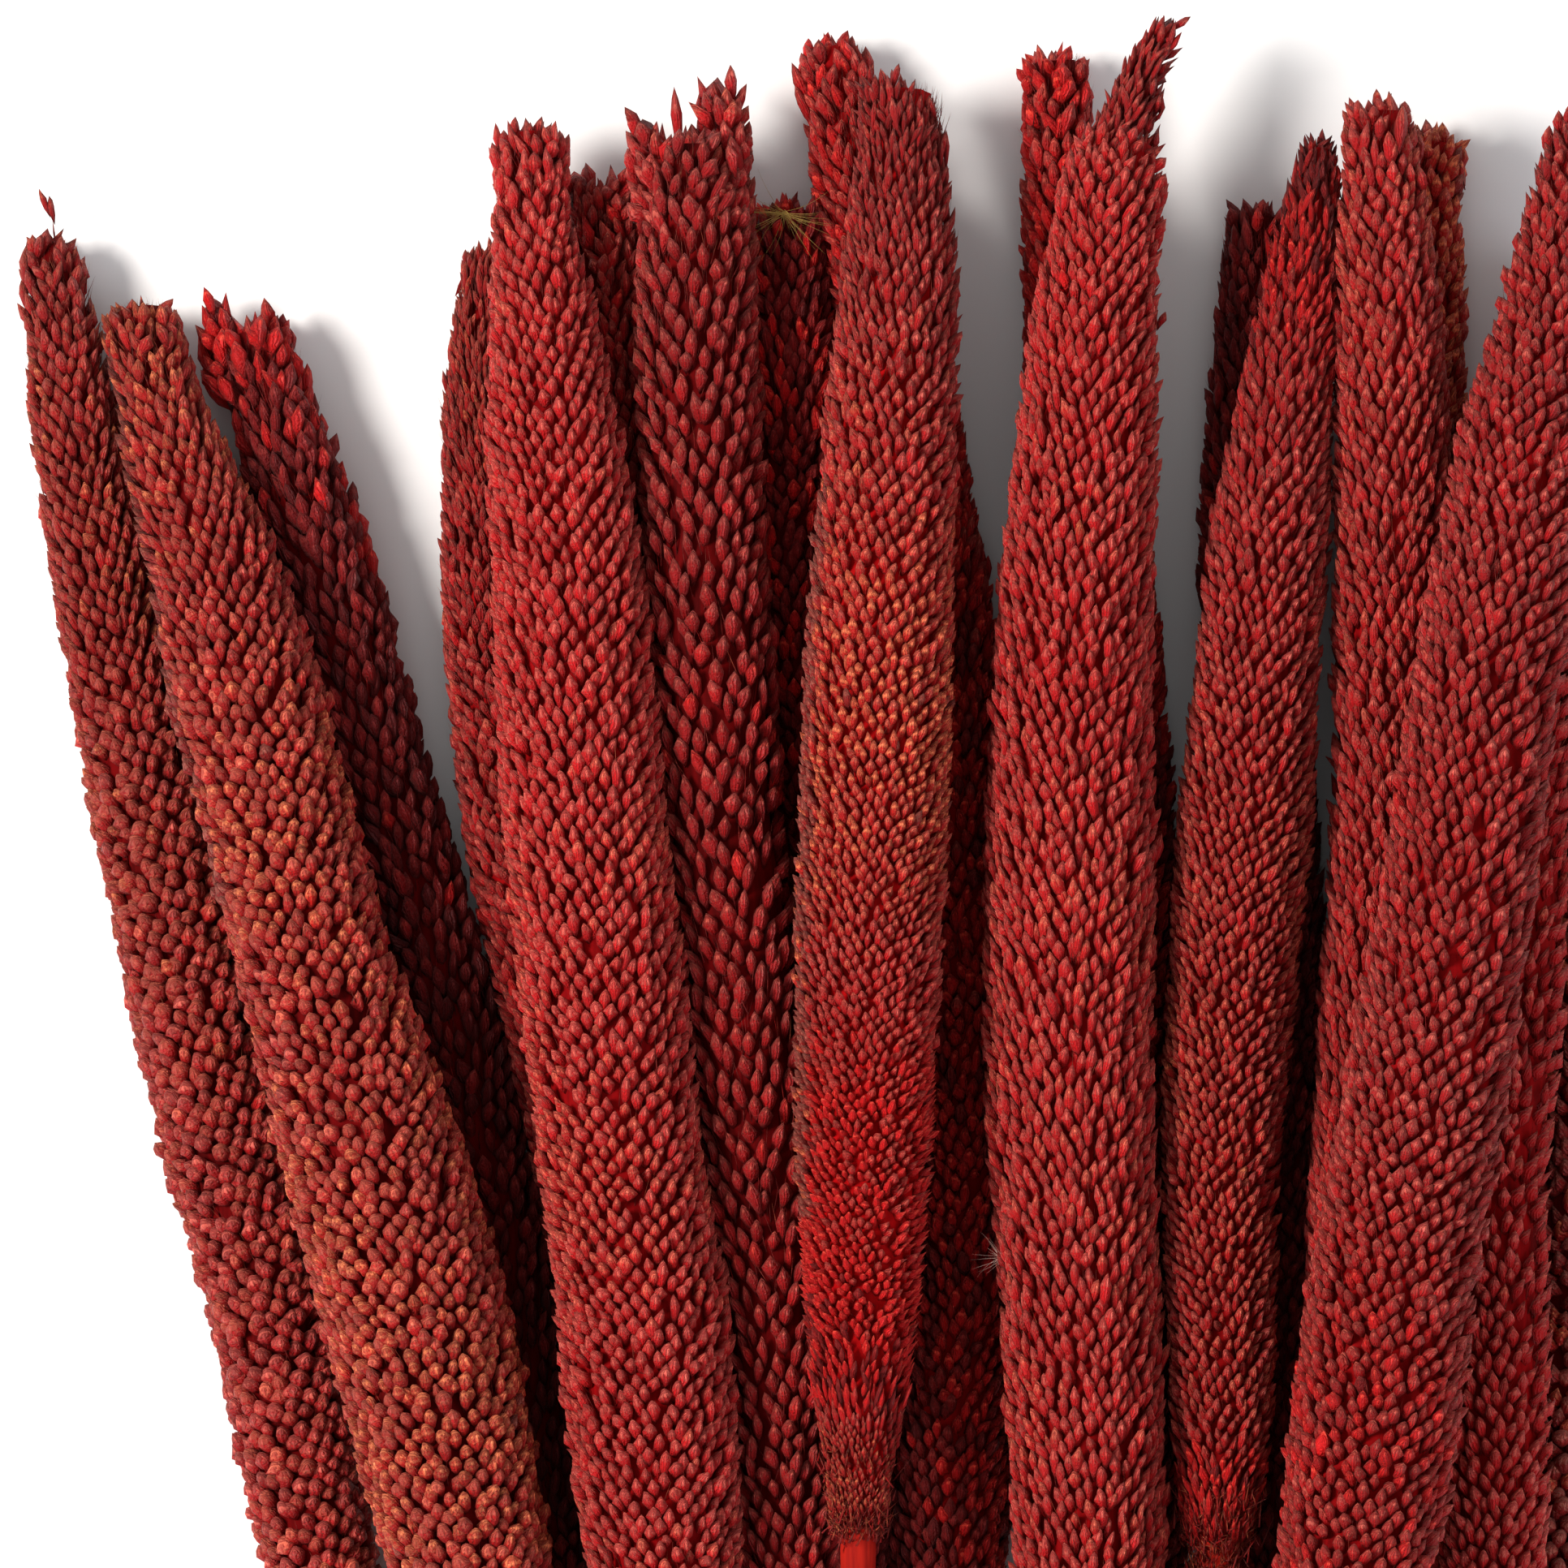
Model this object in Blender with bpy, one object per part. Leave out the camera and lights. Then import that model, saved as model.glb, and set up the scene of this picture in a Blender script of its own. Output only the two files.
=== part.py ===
"""A bunch of dyed pearl millet: nineteen seed spikes fanned out from one tie and laid down.

Metres, Z up. The stems run along Y from the cut ends to the tips, and X is to the right as one
looks down on the bunch. The middle of the tie is at Y = 0 while the shapes are worked out.
"""

import math
from collections import namedtuple

import bmesh
import bpy
import numpy as np
from mathutils import Matrix, Vector

MM = 0.001

# Clearances and the tie
GAP = 0.3 * MM  # between any two pieces
STEM = 2.8 * MM  # radius of a stem in the tie
PITCH = 2 * STEM + GAP  # between the axes of neighbouring stems in the tie
RANK = PITCH * math.sqrt(3) / 2  # from one layer of stems in the tie to the next
TWINE = 1.5 * MM  # radius of the twine
TURNS = 3  # times that the twine goes round the stems
TWINE_PITCH = 2 * TWINE + GAP
KNOT = 3.4 * MM  # radius of the knot
END_LENGTH = 24 * MM  # of each short end of the twine
END_RINGS = 5
TIE_HALF = 9 * MM  # the stems run straight for this length on each side of the middle
STEM_BELOW = 66 * MM  # from the middle of the tie to the cut ends
STEM_UNEVEN = 7 * MM  # how much longer or shorter a stem is cut
SPREAD_BELOW = 1.22  # how far the stems open again at their cut ends
PRESSED = 0.4 * MM  # how much of the twine's underside is pressed flat by the floor
TIE_HEIGHT = 2 * TWINE - PRESSED + GAP + STEM + 2 * RANK

# One seed spike
SIDES = 8  # spikelets in one row round a spike
ROWS = 24  # rows of spikelets along a spike, each half a spikelet on from the last
STEM_RINGS = 4  # between the tie and the head
STEM_CROWD = 1.3  # above 1 the rings lie closer together towards the tie
SUNK = 0.84  # radius between the spikelets, as a share of the radius over their tips
LEAN = 0.45  # how far a spikelet's point leans to the spike's tip, as a share of a row

# Heights along the bunch where the table gives the sideways place of a spike
STATIONS = (283 * MM, 339 * MM, 404 * MM, 469 * MM)

Spike = namedtuple("Spike", "name column rank layer radius length top sideways tip")

# name, column and rank of the stem in the tie, layer in the heap, radius, length of the head,
# thickness near the tip as a share, sideways place at the four stations, and the tip
# (lengths in millimetres)
TABLE = (
    ("spike_01", -4, 0, 1, 10.3, 270, 0.62, (-93.5, -106.2, -120.9, -132.5), (-136.6, 504)),
    ("spike_02", -3, 1, 2, 14.6, 256, 0.58, (-68.7, -81.9, -100.5, -118.8), (-124.0, 486)),
    ("spike_03", -3, -1, 0, 9.2, 258, 0.86, (-55.2, -67.1, -83.9, -102.8), (-107.5, 489)),
    ("spike_04", -2, -2, 0, 9.6, 258, 0.80, (-37.5, -48.5, -63.0, -63.8), (-66.5, 495)),
    ("spike_05", -2, 2, 2, 13.6, 274, 0.68, (-38.1, -42.6, -50.6, -56.1), (-59.4, 514)),
    ("spike_06", -2, 0, 0, 9.0, 258, 0.78, (-24.0, -29.5, -37.9, -45.0), (-47.7, 508)),
    ("spike_07", -1, 1, 1, 10.0, 278, 0.95, (-18.1, -21.7, -27.2, -33.4), (-31.4, 524)),
    ("spike_08", -1, -1, 0, 8.5, 250, 0.82, (-8.5, -11.5, -15.5, -17.1), (-16.5, 503)),
    ("spike_09", 0, -2, 0, 9.0, 276, 0.82, (9.5, 10.0, 10.0, 2.3), (-10.0, 529)),
    ("spike_10", 0, 2, 3, 11.9, 232, 0.80, (-6.9, -5.9, -4.5, -1.2), (1.8, 520)),
    ("spike_11", 0, 0, 0, 9.0, 272, 0.80, (37.5, 37.2, 35.5, 30.0), (24.6, 527)),
    ("spike_12", 1, 1, 2, 13.5, 286, 0.54, (30.0, 27.5, 27.1, 29.6), (41.4, 532)),
    ("spike_13", 1, -1, 0, 8.7, 244, 0.78, (62.2, 60.4, 58.6, 56.6), (56.0, 504)),
    ("spike_14", 2, 0, 1, 10.8, 228, 0.58, (50.5, 50.9, 55.1, 60.0), (66.2, 512)),
    ("spike_15", 3, 1, 1, 9.8, 270, 0.84, (70.0, 75.9, 79.0, 77.6), (78.0, 518)),
    ("spike_16", 2, -2, 0, 8.7, 262, 0.78, (81.7, 85.0, 85.0, 82.4), (88.2, 514)),
    ("spike_17", 2, 2, 3, 13.5, 280, 0.72, (73.1, 80.0, 90.8, 102.0), (109.0, 516)),
    ("spike_18", 4, 0, 1, 10.2, 252, 0.76, (98.0, 97.6, 101.0, 105.8), (110.3, 492)),
    ("spike_19", 3, -1, 0, 10.8, 236, 0.80, (106.5, 111.0, 113.5, 116.5), (118.0, 464)),
)

SPIKES = tuple(Spike(*row) for row in TABLE)
LEVELS = (0.0, 17 * MM, 30 * MM, 44 * MM)  # how high each layer starts above the floor

# Settling of the heap
STEP = 4 * MM  # between the cross-sections where the spikes are kept apart
SINK_ROUNDS = 420  # rounds in which the spikes also sink under their weight
APART_ROUNDS = 260  # rounds in which they are only kept apart
SINK = 0.25 * MM
HOLD = 0.35  # how firmly a head keeps its sideways place
HELD_FROM = 240 * MM  # along the bunch
WIDEST_LEAN = 14  # degrees that a spike leans away from the bunch's length
STIFFNESS = 0.3  # how firmly a spike keeps a smooth bend
SIDE_ORDER = 5  # of the bend seen from above
RISE_ORDER = 3  # of the bend seen from the side

# Colours of the dyed grain and of the twine
CRIMSON = (0.25, 0.020, 0.016)
BRICK = (0.44, 0.070, 0.042)
JUTE = (0.42, 0.30, 0.17)


def head_profile(top):
    """Shares of the full radius from the base of a head to its tip."""
    along = (0.0, 0.03, 0.1, 0.25, 0.5, 0.72, 0.9, 0.97, 1.0)
    share = (0.34, 0.6, 0.76, 0.93, 1.0, 1.0 - 0.35 * (1 - top), top, 0.74 * top, 0.42 * top)
    return along, share


def heights_of(tip, base, below):
    """Where the rings of one spike lie along the bunch, from the cut end to the tip."""
    stem = TIE_HALF + (base - TIE_HALF) * np.linspace(0, 1, STEM_RINGS + 2) ** STEM_CROWD
    head = np.linspace(base, tip, ROWS + 1)
    return np.concatenate([[-below, -TIE_HALF], stem, head[1:]])


def laid_out():
    """The first path, the radius and the place in the tie of each spike."""
    ys = []
    paths = []
    girths = []
    for index, each in enumerate(SPIKES):
        below = STEM_BELOW + STEM_UNEVEN * math.sin(2.4 * index)
        tip_x = each.tip[0] * MM
        tip_y = each.tip[1] * MM
        base = tip_y - each.length * MM
        y = heights_of(tip_y, base, below)
        slot = (each.column * PITCH / 2, TIE_HEIGHT + each.rank * RANK)
        level = each.radius * MM + LEVELS[each.layer]
        known_x = (slot[0],) + tuple(x * MM for x in each.sideways) + (tip_x,)
        x = np.interp(y, (0.0,) + STATIONS + (tip_y,), known_x)
        z = np.interp(y, (TIE_HALF, base), (slot[1], level))
        along, share = head_profile(each.top)
        u = (y - base) / (tip_y - base)
        girth = np.where(u < 0, STEM, np.interp(u, along, share) * each.radius * MM)
        path = np.stack([x, z], axis=1)
        path[1:3] = slot
        path[0] = (slot[0] * SPREAD_BELOW, TIE_HEIGHT + (slot[1] - TIE_HEIGHT) * SPREAD_BELOW)
        ys.append(y)
        paths.append(path)
        girths.append(girth)
    return np.array(ys), np.array(paths), np.array(girths)


def blends(ys):
    """For each spike, the weights that give its place in evenly spaced cross-sections."""
    levels = np.arange(ys.min(), ys.max() + STEP, STEP)
    weights = np.zeros((len(ys), len(levels), ys.shape[1]))
    for spike, y in enumerate(ys):
        for ring in range(len(y)):
            unit = np.zeros(len(y))
            unit[ring] = 1
            weights[spike, :, ring] = np.interp(levels, y, unit, left=0, right=0)
    return weights


def pushed_apart(paths, girths, weights):
    """How far each ring moves so that no two spikes are closer than the gap."""
    places = np.einsum("sfk,skc->sfc", weights, paths)
    radii = np.einsum("sfk,sk->sf", weights, girths)
    present = weights.sum(axis=2) > 0.5
    away = places[:, None] - places[None, :]
    distance = np.sqrt((away**2).sum(axis=3)) + 1e-9
    needed = radii[:, None] + radii[None, :] + GAP
    overlap = np.maximum(needed - distance, 0) * (present[:, None] & present[None, :])
    overlap[np.arange(len(paths)), np.arange(len(paths))] = 0
    push = (away / distance[..., None] * overlap[..., None] * 0.5).sum(axis=1)
    active = overlap.max(axis=1) > 0
    share = np.einsum("sfk,sf->sk", weights, active.astype(float))
    moved = np.einsum("sfk,sfc->skc", weights, push)
    return moved / np.maximum(share, 0.5)[..., None]


def smooth_bends(ys, order):
    """For each spike, the weights that give its closest smooth bend, upright in the tie."""
    bends = np.zeros((len(ys), ys.shape[1], ys.shape[1]))
    for spike, y in enumerate(ys):
        used = y > -TIE_HALF - MM
        powers = np.vander(y[used] / y.max(), order + 1)
        firm = np.where(y[used] < TIE_HALF + MM, 40.0, 1.0)
        solved = np.linalg.solve((powers.T * firm) @ powers, powers.T * firm)
        bends[spike][np.ix_(used, used)] = powers @ solved
        bends[spike][~used, ~used] = 1
    return bends


def settled(ys, paths, girths):
    """The paths after the spikes have sunk onto the floor and onto one another."""
    leant = 1 / math.cos(math.radians(WIDEST_LEAN))
    wide = girths * np.where(ys > 2 * TIE_HALF, leant, 1.0)
    weights = blends(ys)
    side = smooth_bends(ys, SIDE_ORDER)
    rise = smooth_bends(ys, RISE_ORDER)
    wanted = np.einsum("sjk,sk->sj", side, paths[..., 0])
    free = (ys > TIE_HALF + MM)[..., None]
    held = ys > HELD_FROM
    for count in range(SINK_ROUNDS + APART_ROUNDS):
        moved = pushed_apart(paths, wide, weights)
        step = moved.copy()
        if count < SINK_ROUNDS:
            fade = 1 - count / SINK_ROUNDS
            bent_x = np.einsum("sjk,sk->sj", side, paths[..., 0]) - paths[..., 0]
            bent_z = np.einsum("sjk,sk->sj", rise, paths[..., 1]) - paths[..., 1]
            step[..., 0] += STIFFNESS * fade * bent_x
            step[..., 0] += np.where(held, HOLD * (wanted - paths[..., 0]), 0)
            step[..., 1] += STIFFNESS * bent_z
            step[..., 1] -= SINK * (0.1 + fade)
        paths = paths + np.where(free, step, 0)
        paths[..., 1] = np.maximum(paths[..., 1], girths)
    return paths


def plain_material(name, colour, roughness):
    """One surface, without pattern."""
    material = bpy.data.materials.new(name)
    material.use_nodes = True
    shader = material.node_tree.nodes["Principled BSDF"]
    shader.inputs["Base Color"].default_value = (*colour, 1)
    shader.inputs["Roughness"].default_value = roughness
    material.diffuse_color = (*colour, 1)
    return material


def swept(name, points, radii, resolution, turn=0.0):
    """A round bar along the points, each ring turned on from the last, with closed ends."""
    curve = bpy.data.curves.new(name, "CURVE")
    curve.dimensions = "3D"
    curve.bevel_depth = 1.0
    curve.bevel_resolution = resolution
    curve.use_fill_caps = True
    spline = curve.splines.new("POLY")
    spline.points.add(len(points) - 1)
    for index, (point, place, radius) in enumerate(zip(spline.points, points, radii)):
        point.co = (*place, 1)
        point.radius = radius
        point.tilt = index * turn
    holder = bpy.data.objects.new(name + "_path", curve)
    bpy.context.scene.collection.objects.link(holder)
    shape = holder.evaluated_get(bpy.context.evaluated_depsgraph_get())
    mesh = bpy.data.meshes.new_from_object(shape)
    bpy.data.objects.remove(holder)
    mesh.name = name
    return mesh


def rows_crossed(body, base, tip):
    """The edges that run round the head, except at its two ends."""
    row = (tip - base) / ROWS
    found = []
    for edge in body.edges:
        first, second = edge.verts
        along = abs(first.co.y - second.co.y)
        middle = (first.co.y + second.co.y) / 2
        if along < 0.5 * edge.calc_length() and base + row / 2 < middle < tip - row / 2:
            found.append(edge)
    return found


def with_spikelets(mesh, y, path, girth, base):
    """The head divided into diamonds, each raised to the blunt point of a spikelet."""
    body = bmesh.new()
    body.from_mesh(mesh)
    bmesh.ops.remove_doubles(body, verts=body.verts, dist=1e-6)
    sides = []
    for face in body.faces:
        if len(face.verts) == 4 and face.calc_center_median().y > base:
            sides.append(face)
    bmesh.ops.triangulate(body, faces=sides, quad_method="SHORT_EDGE")
    bmesh.ops.dissolve_edges(body, edges=rows_crossed(body, base, y[-1]))
    raised = [f for f in body.faces if len(f.verts) == 4 and f.calc_center_median().y > base]
    tips = bmesh.ops.poke(body, faces=raised, center_mode="MEAN")["verts"]
    row = (y[-1] - base) / ROWS
    for tip in tips:
        here = tip.co.y
        there = min(here + LEAN * row, y[-1])
        axis = Vector((np.interp(here, y, path[:, 0]), here, np.interp(here, y, path[:, 1])))
        moved = Vector((np.interp(there, y, path[:, 0]), there, np.interp(there, y, path[:, 1])))
        out = (tip.co - axis).normalized()
        tip.co = moved + out * float(np.interp(there, y, girth))
    for face in body.faces:
        face.smooth = False
    body.to_mesh(mesh)
    body.free()


def spike(each, y, path, girth, collection):
    """One stem and its head, grown as one piece."""
    base = y[-1] - each.length * MM
    head = y > base + 1e-6
    radii = np.where(head, girth * SUNK, STEM)
    radii[-1] = girth[-1] * 0.7
    points = [(x, along, z) for (x, z), along in zip(path, y)]
    mesh = swept(each.name, points, radii, SIDES // 2 - 2, turn=math.pi / SIDES)
    with_spikelets(mesh, y, path, girth, base)
    made = bpy.data.objects.new(each.name, mesh)
    collection.objects.link(made)
    lit = each.layer / 3
    colour = [dark + (light - dark) * lit for dark, light in zip(CRIMSON, BRICK)]
    mesh.materials.append(plain_material("grain_" + each.name[-2:], colour, 0.85))
    return made


def wrap_points():
    """The middle line of the twine, from the knot round the stems and back to the knot."""
    outside = STEM + GAP + TWINE
    corners = []
    for corner in range(6):
        angle = math.radians(60 * corner)
        centre = (2 * PITCH * math.cos(angle), 2 * PITCH * math.sin(angle))
        for part in (-30, 0, 30):
            turn = angle + math.radians(part)
            x = centre[0] + outside * math.cos(turn)
            z = centre[1] + outside * math.sin(turn)
            corners.append((x, z))
    first = 5
    count = TURNS * len(corners) + 1
    points = []
    for index in range(count):
        x, z = corners[(first + index) % len(corners)]
        y = (index / (count - 1) - 0.5) * TURNS * TWINE_PITCH
        points.append((x, y, z + TIE_HEIGHT))
    return points


def loose_end(side):
    """A short end of the twine, from the knot out over the stems beside it."""
    top = TIE_HEIGHT + 2 * RANK + STEM
    points = []
    for index in range(END_RINGS):
        part = index / (END_RINGS - 1)
        x = side * END_LENGTH * 0.62 * part
        y = -END_LENGTH * (0.12 + 0.75 * part**1.4)
        z = top + KNOT * 0.9 + GAP + 2.2 * MM * math.sin(math.pi * part) - 1.2 * MM * part
        points.append((x, y, z))
    return points


def knot_at(place):
    """The lump of the knot, a little wider than it is high."""
    bpy.ops.mesh.primitive_uv_sphere_add(segments=8, ring_count=6, radius=KNOT, location=place)
    knot = bpy.context.object
    knot.scale = (1.35, 1.1, 0.85)
    bpy.context.view_layer.update()
    mesh = knot.data.copy()
    mesh.transform(knot.matrix_world)
    bpy.data.objects.remove(knot)
    return mesh


def joined_to(made, pieces):
    """The first object's mesh with the pieces united to it."""
    joined = bpy.data.collections.new("tie_pieces")
    bpy.context.scene.collection.children.link(joined)
    added = []
    for piece in pieces:
        item = bpy.data.objects.new("tie_piece", piece)
        joined.objects.link(item)
        added.append(item)
    union = made.modifiers.new("joined", "BOOLEAN")
    union.operation = "UNION"
    union.operand_type = "COLLECTION"
    union.collection = joined
    union.solver = "EXACT"
    shape = made.evaluated_get(bpy.context.evaluated_depsgraph_get())
    whole = bpy.data.meshes.new_from_object(shape)
    made.modifiers.clear()
    made.data = whole
    for item in added:
        bpy.data.objects.remove(item)
    bpy.data.collections.remove(joined)


def press_flat(mesh):
    """What would reach below the floor cut away, which leaves the faces it rests on."""
    body = bmesh.new()
    body.from_mesh(mesh)
    every = body.verts[:] + body.edges[:] + body.faces[:]
    bmesh.ops.bisect_plane(
        body, geom=every, plane_co=(0, 0, 0), plane_no=(0, 0, 1), clear_inner=True
    )
    open_edges = [edge for edge in body.edges if edge.is_boundary]
    bmesh.ops.holes_fill(body, edges=open_edges, sides=0)
    body.to_mesh(mesh)
    body.free()


def tie(collection):
    """Twine wound three times round the stems and knotted on top, with two short ends."""
    points = wrap_points()
    made = bpy.data.objects.new("tie", swept("tie", points, [TWINE] * len(points), 1))
    collection.objects.link(made)
    centre = (points[0][0], 0, points[0][2] + 1.25 * KNOT)
    pieces = [knot_at(centre)]
    for start, side in ((points[0], -1), (points[-1], 1)):
        over = (centre[0], side * 1.4 * TWINE, start[2] + 1.5 * TWINE)
        lead = (start, over, centre)
        pieces.append(swept("lead", lead, [TWINE * 0.98] * 3, 1))
        end = [(x + centre[0], y, z) for x, y, z in loose_end(side)]
        pieces.append(swept("end", end, [TWINE] * len(end), 1))
    joined_to(made, pieces)
    press_flat(made.data)
    made.data.materials.clear()
    made.data.materials.append(plain_material("twine", JUTE, 0.9))
    return made


def centred(objects):
    """The bunch moved so that the middle of its bounding box is over the origin."""
    corners = np.array([v.co[:] for o in objects for v in o.data.vertices])
    low = corners.min(axis=0)
    high = corners.max(axis=0)
    shift = Matrix.Translation((-(low[0] + high[0]) / 2, -(low[1] + high[1]) / 2, -low[2]))
    for item in objects:
        item.data.transform(shift)


def main():
    for item in list(bpy.data.objects):
        bpy.data.objects.remove(item)
    collection = bpy.data.collections.new("pearl_millet_bunch")
    bpy.context.scene.collection.children.link(collection)
    ys, paths, girths = laid_out()
    paths = settled(ys, paths, girths)
    objects = []
    for each, y, path, girth in zip(SPIKES, ys, paths, girths):
        objects.append(spike(each, y, path, girth, collection))
    objects.append(tie(collection))
    centred(objects)


main()
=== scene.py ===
"""The looks of a bunch of dyed pearl millet, lying on a pale floor and seen from above."""

from collections import namedtuple
from math import cos, pi, radians, sin, sqrt
from types import SimpleNamespace

import bpy
import numpy as np
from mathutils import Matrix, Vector
from mathutils.bvhtree import BVHTree

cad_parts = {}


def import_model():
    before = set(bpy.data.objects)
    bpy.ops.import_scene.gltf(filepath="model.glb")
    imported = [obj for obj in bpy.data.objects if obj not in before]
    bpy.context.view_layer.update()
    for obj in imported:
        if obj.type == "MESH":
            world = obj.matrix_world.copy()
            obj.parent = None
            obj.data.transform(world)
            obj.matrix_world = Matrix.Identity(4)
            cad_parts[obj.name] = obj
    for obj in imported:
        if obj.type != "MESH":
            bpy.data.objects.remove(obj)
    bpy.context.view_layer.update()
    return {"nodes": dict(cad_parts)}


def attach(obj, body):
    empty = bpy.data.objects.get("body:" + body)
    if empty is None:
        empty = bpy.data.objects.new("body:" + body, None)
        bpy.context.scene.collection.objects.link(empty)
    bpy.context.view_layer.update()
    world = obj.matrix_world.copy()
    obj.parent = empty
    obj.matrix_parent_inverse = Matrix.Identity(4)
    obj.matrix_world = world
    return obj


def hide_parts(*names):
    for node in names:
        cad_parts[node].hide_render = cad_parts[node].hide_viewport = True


MM = 0.001
SEED = 7
GOLDEN = pi * (3 - sqrt(5))  # the turn from one spikelet to the next round a head
LOWEST = 0.02 * MM  # above the floor, where the undersides are pressed flat

# Reading the frame
STEM = 2.8 * MM  # radius of a stem
HEAD_FROM = 4.6 * MM  # a section wider than this belongs to the head
SLICE = 5 * MM
SLICE_REACH = 1.6 * SLICE
PEAK_REACH = 7 * MM  # a little over half the distance between two rows of peaks
PEAK_EVERY = 3  # points of the axis from one search for a peak to the next
AXIS_ORDER = 9
SMOOTH_OVER = 13  # points of the outline
STEP = 1 * MM  # between the points of an axis, and of a line of twine

# Every head narrows to its stem: the most that its radius may be, as a share of its full radius,
# at each share of its length
FOOT = ((0, 0.03, 0.1, 0.2), (0.32, 0.58, 0.8, 1.1))
ABOVE_STEM = 3.5 * MM  # from a head's lower end to its first spikelets
CROWN = 16 * MM  # the ragged part below a tip
CROWN_ROUGH = 1.1
CROWN_MOVES = (-0.4, 1.6)  # millimetres, from the least to the most
TIP_ROUGH = 2
TIP_CROWDED = 0.9  # of the area that a spikelet has elsewhere
TIP_REACH = 0.92  # of the radius of the level end
TIP_LEAN = 4  # degrees, in its middle
TIP_MOVES = (-0.6, 1.4)  # millimetres
TIP_DOME = 1.2  # millimetres
SPIRAL_STEPS = 400

# How the spikelets look: width, length, lean from the head's axis in degrees, the share of the
# head's skin in square millimetres that each one has, and whether it is blunt
Look = namedtuple("Look", "width length lean area blunt")
LOOKS = {
    "crown": Look(2, 5.9, 18, 5.1, 0),
    "body": Look(2.05, 5.2, 29, 5.5, 0),
    "slim": Look(1.85, 5.7, 24, 5.2, 0),
    "round": Look(2.55, 4.8, 36, 5.7, 1),
    "buds": Look(2.1, 4.9, 36, 5.4, 0),
    "coarse": Look(3.05, 4.8, 38, 6.8, 1),
    "sparse": Look(2.3, 5.8, 22, 10.8, 0),
    "sharp": Look(2.4, 6.4, 17, 6.6, 0),
    "fine": Look(1.5, 4.2, 40, 3, 0),
    "beads": Look(1.4, 3.8, 54, 2.4, 0),
    "dots": Look(1.6, 4.6, 36, 3.7, 0),
    "fuzz": Look(0.75, 2.6, 26, 1, 0),
    "foot": Look(0.95, 5.2, 22, 2, 0),
    "bristly": Look(1.2, 5.6, 15, 2.5, 0),
}
PLAIN = (("body", 0.8), ("crown", 1))
SLIM = (("slim", 0.8), ("crown", 1))

# Each head, from left to right: looks, and tones from 0 to 1, with the share of its length, from
# base to tip, at which each is reached; over what length it rounds off, in millimetres, and to
# what share of its radius; how many millimetres of its solid's tip it leaves to shoots; how much
# higher its left side ends; and the colour between its spikelets
# The colour between the spikelets is partly the core's red and partly painted shade for the gaps; deep is
# the darkest.
Head = namedtuple("Head", "looks tones rounding end cut slant bed", defaults=(0, 0, "red"))
HEADS = {
    1: Head((("coarse", 0.62), ("body", 0.76), ("crown", 1)),
            ((0.62, 0), (0.64, 0.5), (0.68, 1)), 9, 0.45, 6.5, 0.3, "deep"),
    2: Head((("round", 0.7), ("body", 0.85), ("crown", 1)),
            ((0.76, 0), (0.73, 0.5), (0.7, 0.8), (0.72, 1)), 7, 0.5, bed="deep"),
    3: Head((("body", 0), ("sparse", 0.4), ("sharp", 1)),
            ((0.08, 0), (0.15, 0.7), (0.2, 0.86), (0.3, 1)), 3, 0.8, 6, bed="deep"),
    4: Head((("body", 0.7), ("bristly", 0.93)), ((0.44, 0), (0.52, 0.6), (0.66, 1)), 4, 0.7),
    5: Head((("buds", 0.4), ("body", 0.6), ("body", 0.85), ("crown", 1)),
            ((0.57, 0), (0.59, 0.5), (0.5, 1)), 3, 0.85),
    6: Head(PLAIN, ((0.3, 0), (0.5, 1)), 3, 0.85, 3, bed="deep"),
    7: Head((("body", 0), ("sparse", 0.3), ("sparse", 0.9), ("sharp", 1)),
            ((0.44, 0), (0.45, 0.6), (0.56, 0.88), (0.58, 1)), 4, 0.85, 12, bed="deep"),
    8: Head(PLAIN, ((0.1, 0), (0.24, 1)), 4, 0.7, bed="deep"),
    9: Head(PLAIN, ((0.18, 0), (0.42, 1)), 9, 0.35),
    10: Head((("fuzz", 0.055), ("foot", 0.078), ("foot", 0.085), ("beads", 0.14), ("beads", 0.24),
              ("fine", 0.36), ("fine", 0.46), ("body", 0.74), ("bristly", 0.97)),
             ((0.76, 0), (0.72, 0.055), (0.31, 0.08), (0.32, 0.28), (0.72, 0.42), (0.74, 0.66),
              (0.55, 0.85), (0.5, 1)), 4, 0.75, 0, 0.75, "vivid"),
    11: Head((("body", 0.8), ("sharp", 1)), ((0.18, 0), (0.36, 1)), 3, 0.8, bed="deep"),
    12: Head(SLIM, ((0.6, 0), (0.58, 0.5), (0.48, 1)), 9, 0.6, 20),
    13: Head(PLAIN, ((0.1, 0), (0.2, 1)), 3, 0.8, 2, bed="deep"),
    14: Head((("foot", 0.02), ("dots", 0.07), ("dots", 0.45), ("slim", 0.75), ("bristly", 1)),
             ((0.3, 0), (0.31, 0.04), (0.62, 0.09), (0.64, 0.5), (0.48, 0.8), (0.18, 1)), 16, 0.12),
    15: Head(SLIM, ((0.46, 0), (0.52, 0.5), (0.6, 1)), 6, 0.6, slant=0.2),
    16: Head(PLAIN, ((0.6, 0), (0.8, 1)), 4, 0.75),
    17: Head((("buds", 0.3), ("body", 0.5), ("body", 0.85), ("crown", 1)),
             ((0.4, 0), (0.46, 0.3), (0.52, 0.55), (0.48, 1)), 13, 0.3),
    18: Head(PLAIN, ((0.52, 0), (0.57, 1)), 6, 0.5),
    19: Head((("coarse", 0.8), ("body", 1)), ((0.9, 0), (0.92, 1)), 6, 0.5, bed="deep"),
}

# Two heads show how they end at the stem: their radius in millimetres at shares of their length
BASES = {
    10: ((0, 0.006, 0.043, 0.072, 0.1, 0.156, 0.24), (3.8, 4.6, 5.2, 6.6, 7.9, 9.7, 10.9)),
    14: ((0, 0.03, 0.06, 0.1, 0.2, 0.36, 0.5), (4.4, 5.4, 6.8, 7.9, 9, 10, 11)),
}

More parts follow.
